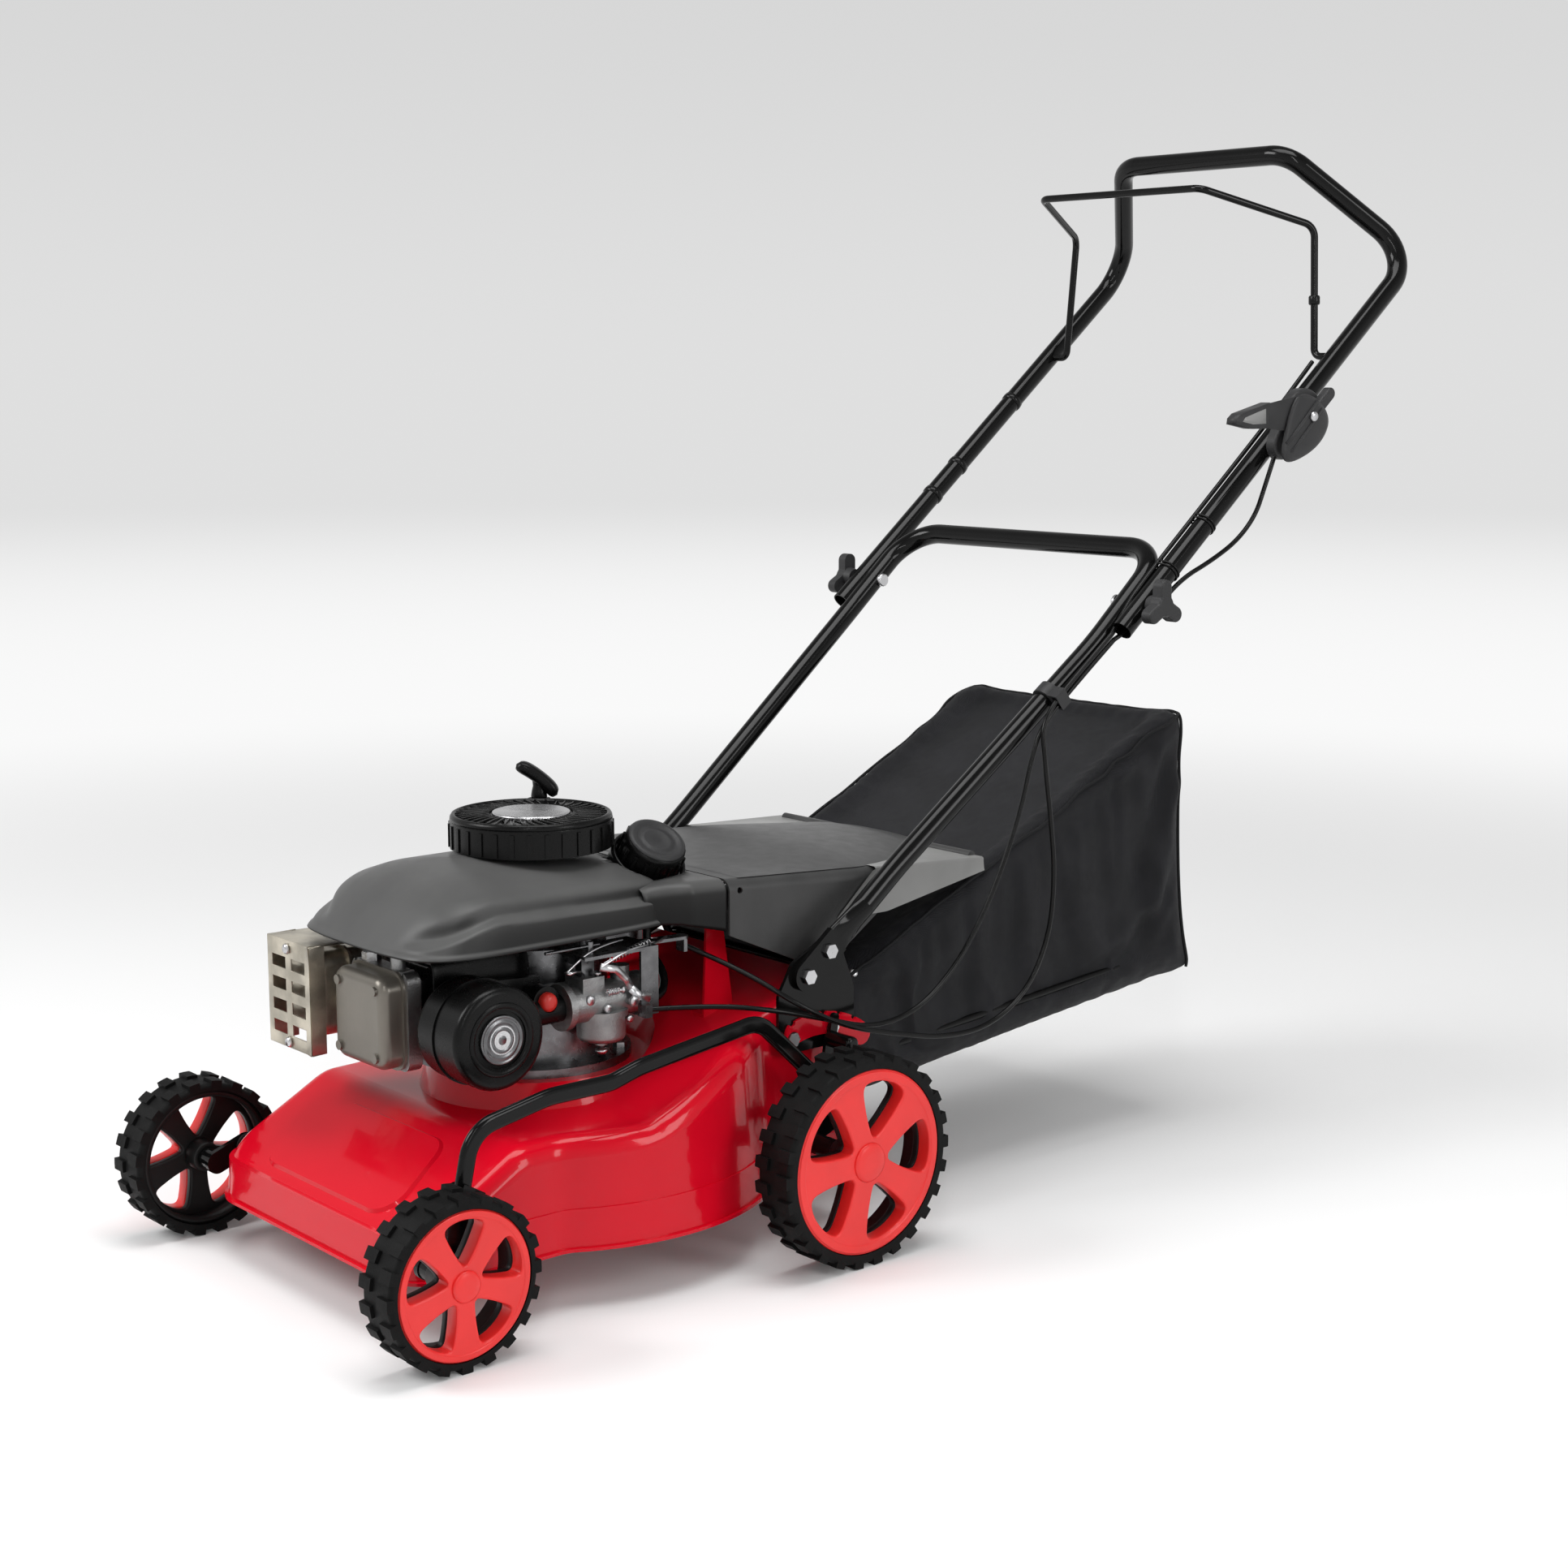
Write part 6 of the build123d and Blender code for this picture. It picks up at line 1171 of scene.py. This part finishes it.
cloth = modified(bag, "CLOTH")
put(cloth.settings, quality=6, mass=0.25, tension_stiffness=12, compression_stiffness=4,
    bending_stiffness=0.6, shrink_min=-0.035, vertex_group_mass="pins", use_pressure=True,
    uniform_pressure_force=-0.35)
cloth.point_cache.frame_end = CLOTH_FRAMES
for step in range(1, CLOTH_FRAMES + 1):
    scene.frame_set(step)
moved = [v.co.copy() for v in evaluated(bag).vertices]
bag.modifiers.clear()
for vertex, start, end in zip(bag.data.vertices, rest, moved):
    way = end - start
    if way.length > CLOTH_CAP:
        way *= CLOTH_CAP / way.length
    vertex.co = start + way
scene.frame_set(1)

# Long folds of both sides (line in y and z, width and depth), a hollow rear edge and pointed corners

FOLDS = [
    ([(739, 444), (651, 418), (527, 381), (418, 344)], 0.012, 0.0040),
    ([(720, 420), (640, 396), (520, 356), (430, 322)], 0.013, -0.0045),
    ([(700, 402), (643, 384), (570, 367), (468, 327)], 0.010, 0.0040),
    ([(690, 384), (600, 352), (520, 318)], 0.014, -0.0035),
    ([(765, 374), (734, 309), (738, 249)], 0.009, 0.0040),
    ([(752, 400), (716, 309), (722, 225)], 0.014, -0.0040),
    ([(330, 232), (400, 236), (470, 262)], 0.016, 0.0035),
    ([(340, 205), (420, 200), (500, 222)], 0.026, -0.0030)]
FOLD_GAIN = 1.7
FOLD_X = 162.0
FOLD_FACING = 0.35
FOLD_FROM_Y = BAG_MOUTH_Y + 0.02
HOLLOW = 0.009
HOLLOW_Y = (BAG_END_Y - 0.06, BAG_END_Y - 0.01)
HOLLOW_X = (0.09, 0.15)
HOLLOW_LOW = 0.17
HOLLOW_HIGH = 0.296
EAR_REACH = 0.075
EAR_PULL = 0.016
EAR_POWER = 1.6
EAR_NEAREST = 0.9
REAR_LIFT = 0.009
LIFT_Y = (BAG_MOUTH_Y + 0.1, BAG_END_Y)
LIFT_Z = (0.28, 0.44)
REAR_PUSH = 0.007
PUSH_Y = (BAG_END_Y - 0.12, BAG_END_Y)

corners = [edge_line(side, level)[1] for side in SIDES for level in LEVELS]
bag.data.update()
normals = [Vector(n.vector) for n in bag.data.vertex_normals]
for vertex, normal in zip(bag.data.vertices, normals):
    co = vertex.co.copy()
    if abs(normal.x) > FOLD_FACING and co.y > FOLD_FROM_Y:
        for line, width, depth in FOLDS:
            run = [at(math.copysign(FOLD_X, co.x), y, z) for y, z in line]
            gap = nearest(co, zip(run, run[1:]))
            co += normal * FOLD_GAIN * depth * math.exp(-(gap / width) ** 2)
    rear = smooth(co.y, *HOLLOW_Y) * smooth(abs(co.x), *HOLLOW_X)
    up_rear = min(1, max(0, (co.z - HOLLOW_LOW) / HOLLOW_HIGH))
    co.y -= HOLLOW * rear * math.sin(math.pi * up_rear)
    for corner in corners:
        away = corner - co
        if away.length < EAR_REACH:
            pull = EAR_PULL * (1 - away.length / EAR_REACH) ** EAR_POWER
            co += away.normalized() * min(pull, away.length * EAR_NEAREST)
    co.z += REAR_LIFT * smooth(co.y, *LIFT_Y) * smooth(co.z, *LIFT_Z)
    co.y += REAR_PUSH * smooth(co.y, *PUSH_Y)
    vertex.co = co

bag.vertex_groups.clear()
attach(bag, "bag")
shaded(bag.data)
bag.data.materials.clear()
bag.data.materials.append(MATERIALS["bag_cloth"])
walled(bag, CLOTH_WALL)
modified(bag, "SUBSURF", levels=1, render_levels=1)
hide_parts("grass_bag")

# Sewn edges of the bag, laid on the cloth, and its rivets

SEAM_LOW = 0.25
SEAM_R = 0.0017
SEAM_OVER = 0.0016
SEAM_STEPS = 28
RIVET = [(0, 1.8), (2.6, 1.6), (4.2, 0.8), (4.8, -0.6), (0, -0.8)]
RIVETS_AT = ((311, 247), (308, 150))
RIVET_X = 152.0

skin = BVHTree.FromPolygons([v.co for v in bag.data.vertices], [tuple(f.vertices) for f in bag.data.polygons])
for index, (start, end) in enumerate(LONG_SEAMS + REAR_SEAMS):
    if max(start.z, end.z) < SEAM_LOW:
        continue
    knots = []
    for i in range(SEAM_STEPS + 1):
        found, normal, _, _ = skin.find_nearest(start.lerp(end, i / SEAM_STEPS))
        knots.append(found + normal * SEAM_OVER)
    piece("bag_seam_%d" % (index + 1), curve_of("bag_seam", knots, SEAM_R), "bag_trim", "bag")
rivets = []
for side in SIDES:
    for y, z in RIVETS_AT:
        found, normal, _, _ = skin.find_nearest(at(side * RIVET_X, y, z))
        rivets.append(lathe("rivet", RIVET, found, normal, 20))
assembled("bag_rivets", rivets, "steel", "bag")

# Paper floor and the wall behind: how bright each is, and how far each part of the floor reaches, in metres

PAPER = 0.84
NEAR_GLOW = 0.05
NEAR_FLOOR = 1.0
FAR_FLOOR = 3.6
FAR_WHITE = 0.95
HORIZON = 14.0
SKY_LOW = 0.74
SKY_HIGH = 0.68
SKY_TURNS = (0, 0.16)
CEILING = 0.22
CEILING_TURNS = (0.2, 0.9)
AMBIENT = 0.34
FLOOR_HALF = 60


def backdrop_rays(tree):
    """1 for the rays that show the backdrop: straight to the camera, or by way of a mirror or glass."""
    straight, mirrored, through = (Wire.node(tree, "LightPath", out="Is %s Ray" % kind)
                                   for kind in ("Camera", "Glossy", "Transmission"))
    return straight.larger(mirrored).larger(through)


floor = bpy.data.meshes.new("floor")
floor.from_pydata([(x * FLOOR_HALF, y * FLOOR_HALF, 0) for x, y in ((-1, -1), (1, -1), (1, 1), (-1, 1))], [],
                  [(0, 1, 2, 3)])
ground = bpy.data.objects.new("floor", floor)
scene.collection.objects.link(ground)
paper, tree, shader = new_material("paper")
shader.inputs["Roughness"].default_value = 0.95
shader.inputs["Specular IOR Level"].default_value = 0.0
shader.inputs["Emission Strength"].default_value = 1.0
place = Wire.node(tree, "TexCoord", out="Object")
away = (place.axis("X") ** 2.0 + place.axis("Y") ** 2) ** 0.5
near = 1.0 - away.step(NEAR_FLOOR, FAR_FLOOR)
near.blend((0, 0, 0), (PAPER, PAPER, PAPER)).feeds(shader, "Base Color")
far_glow = FAR_WHITE - away.step(FAR_FLOOR, HORIZON) * (FAR_WHITE - SKY_LOW)
glow = (near * NEAR_GLOW + (1.0 - near) * far_glow) * backdrop_rays(tree)
Wire.node(tree, "CombineXYZ", (), {0: glow, 1: glow, 2: glow}).feeds(shader, "Emission Color")
floor.materials.append(paper)

world = bpy.data.worlds.new("world")
scene.world = world
world.use_nodes = True
tree = world.node_tree
sky = tree.nodes["Background"]
height = Wire.node(tree, "TexCoord", out="Generated").axis("Z")
backdrop = SKY_LOW - height.step(*SKY_TURNS) * (SKY_LOW - SKY_HIGH)
backdrop = backdrop - height.step(*CEILING_TURNS) * (SKY_HIGH - CEILING)
seen = backdrop_rays(tree)
(seen * backdrop + (1.0 - seen) * AMBIENT).feeds(sky, "Strength")
sky.inputs["Color"].default_value = (1, 1, 1, 1)


# Lamps

def lamp(name, place, aim, width, height, power):
    """Soft square light."""
    light = put(bpy.data.lights.new(name, "AREA"), shape="RECTANGLE", size=width, size_y=height, energy=power)
    made = bpy.data.objects.new(name, light)
    made.location = place
    made.rotation_euler = (Vector(aim) - Vector(place)).to_track_quat("-Z", "Y").to_euler()
    scene.collection.objects.link(made)


lamp("key", (-1.6, -3, 2.8), (0, -0.2, 0.3), 1.6, 1.6, 80)
lamp("top", (0.3, -0.3, 3.2), (0, 0, 0.3), 2.2, 1.4, 55)
lamp("side", (3.2, 0.6, 1.7), (0, 0, 0.4), 0.8, 2, 30)
lamp("strip", (2.3, -2.2, 2.3), (0, 0, 0.4), 0.12, 2.2, 16)
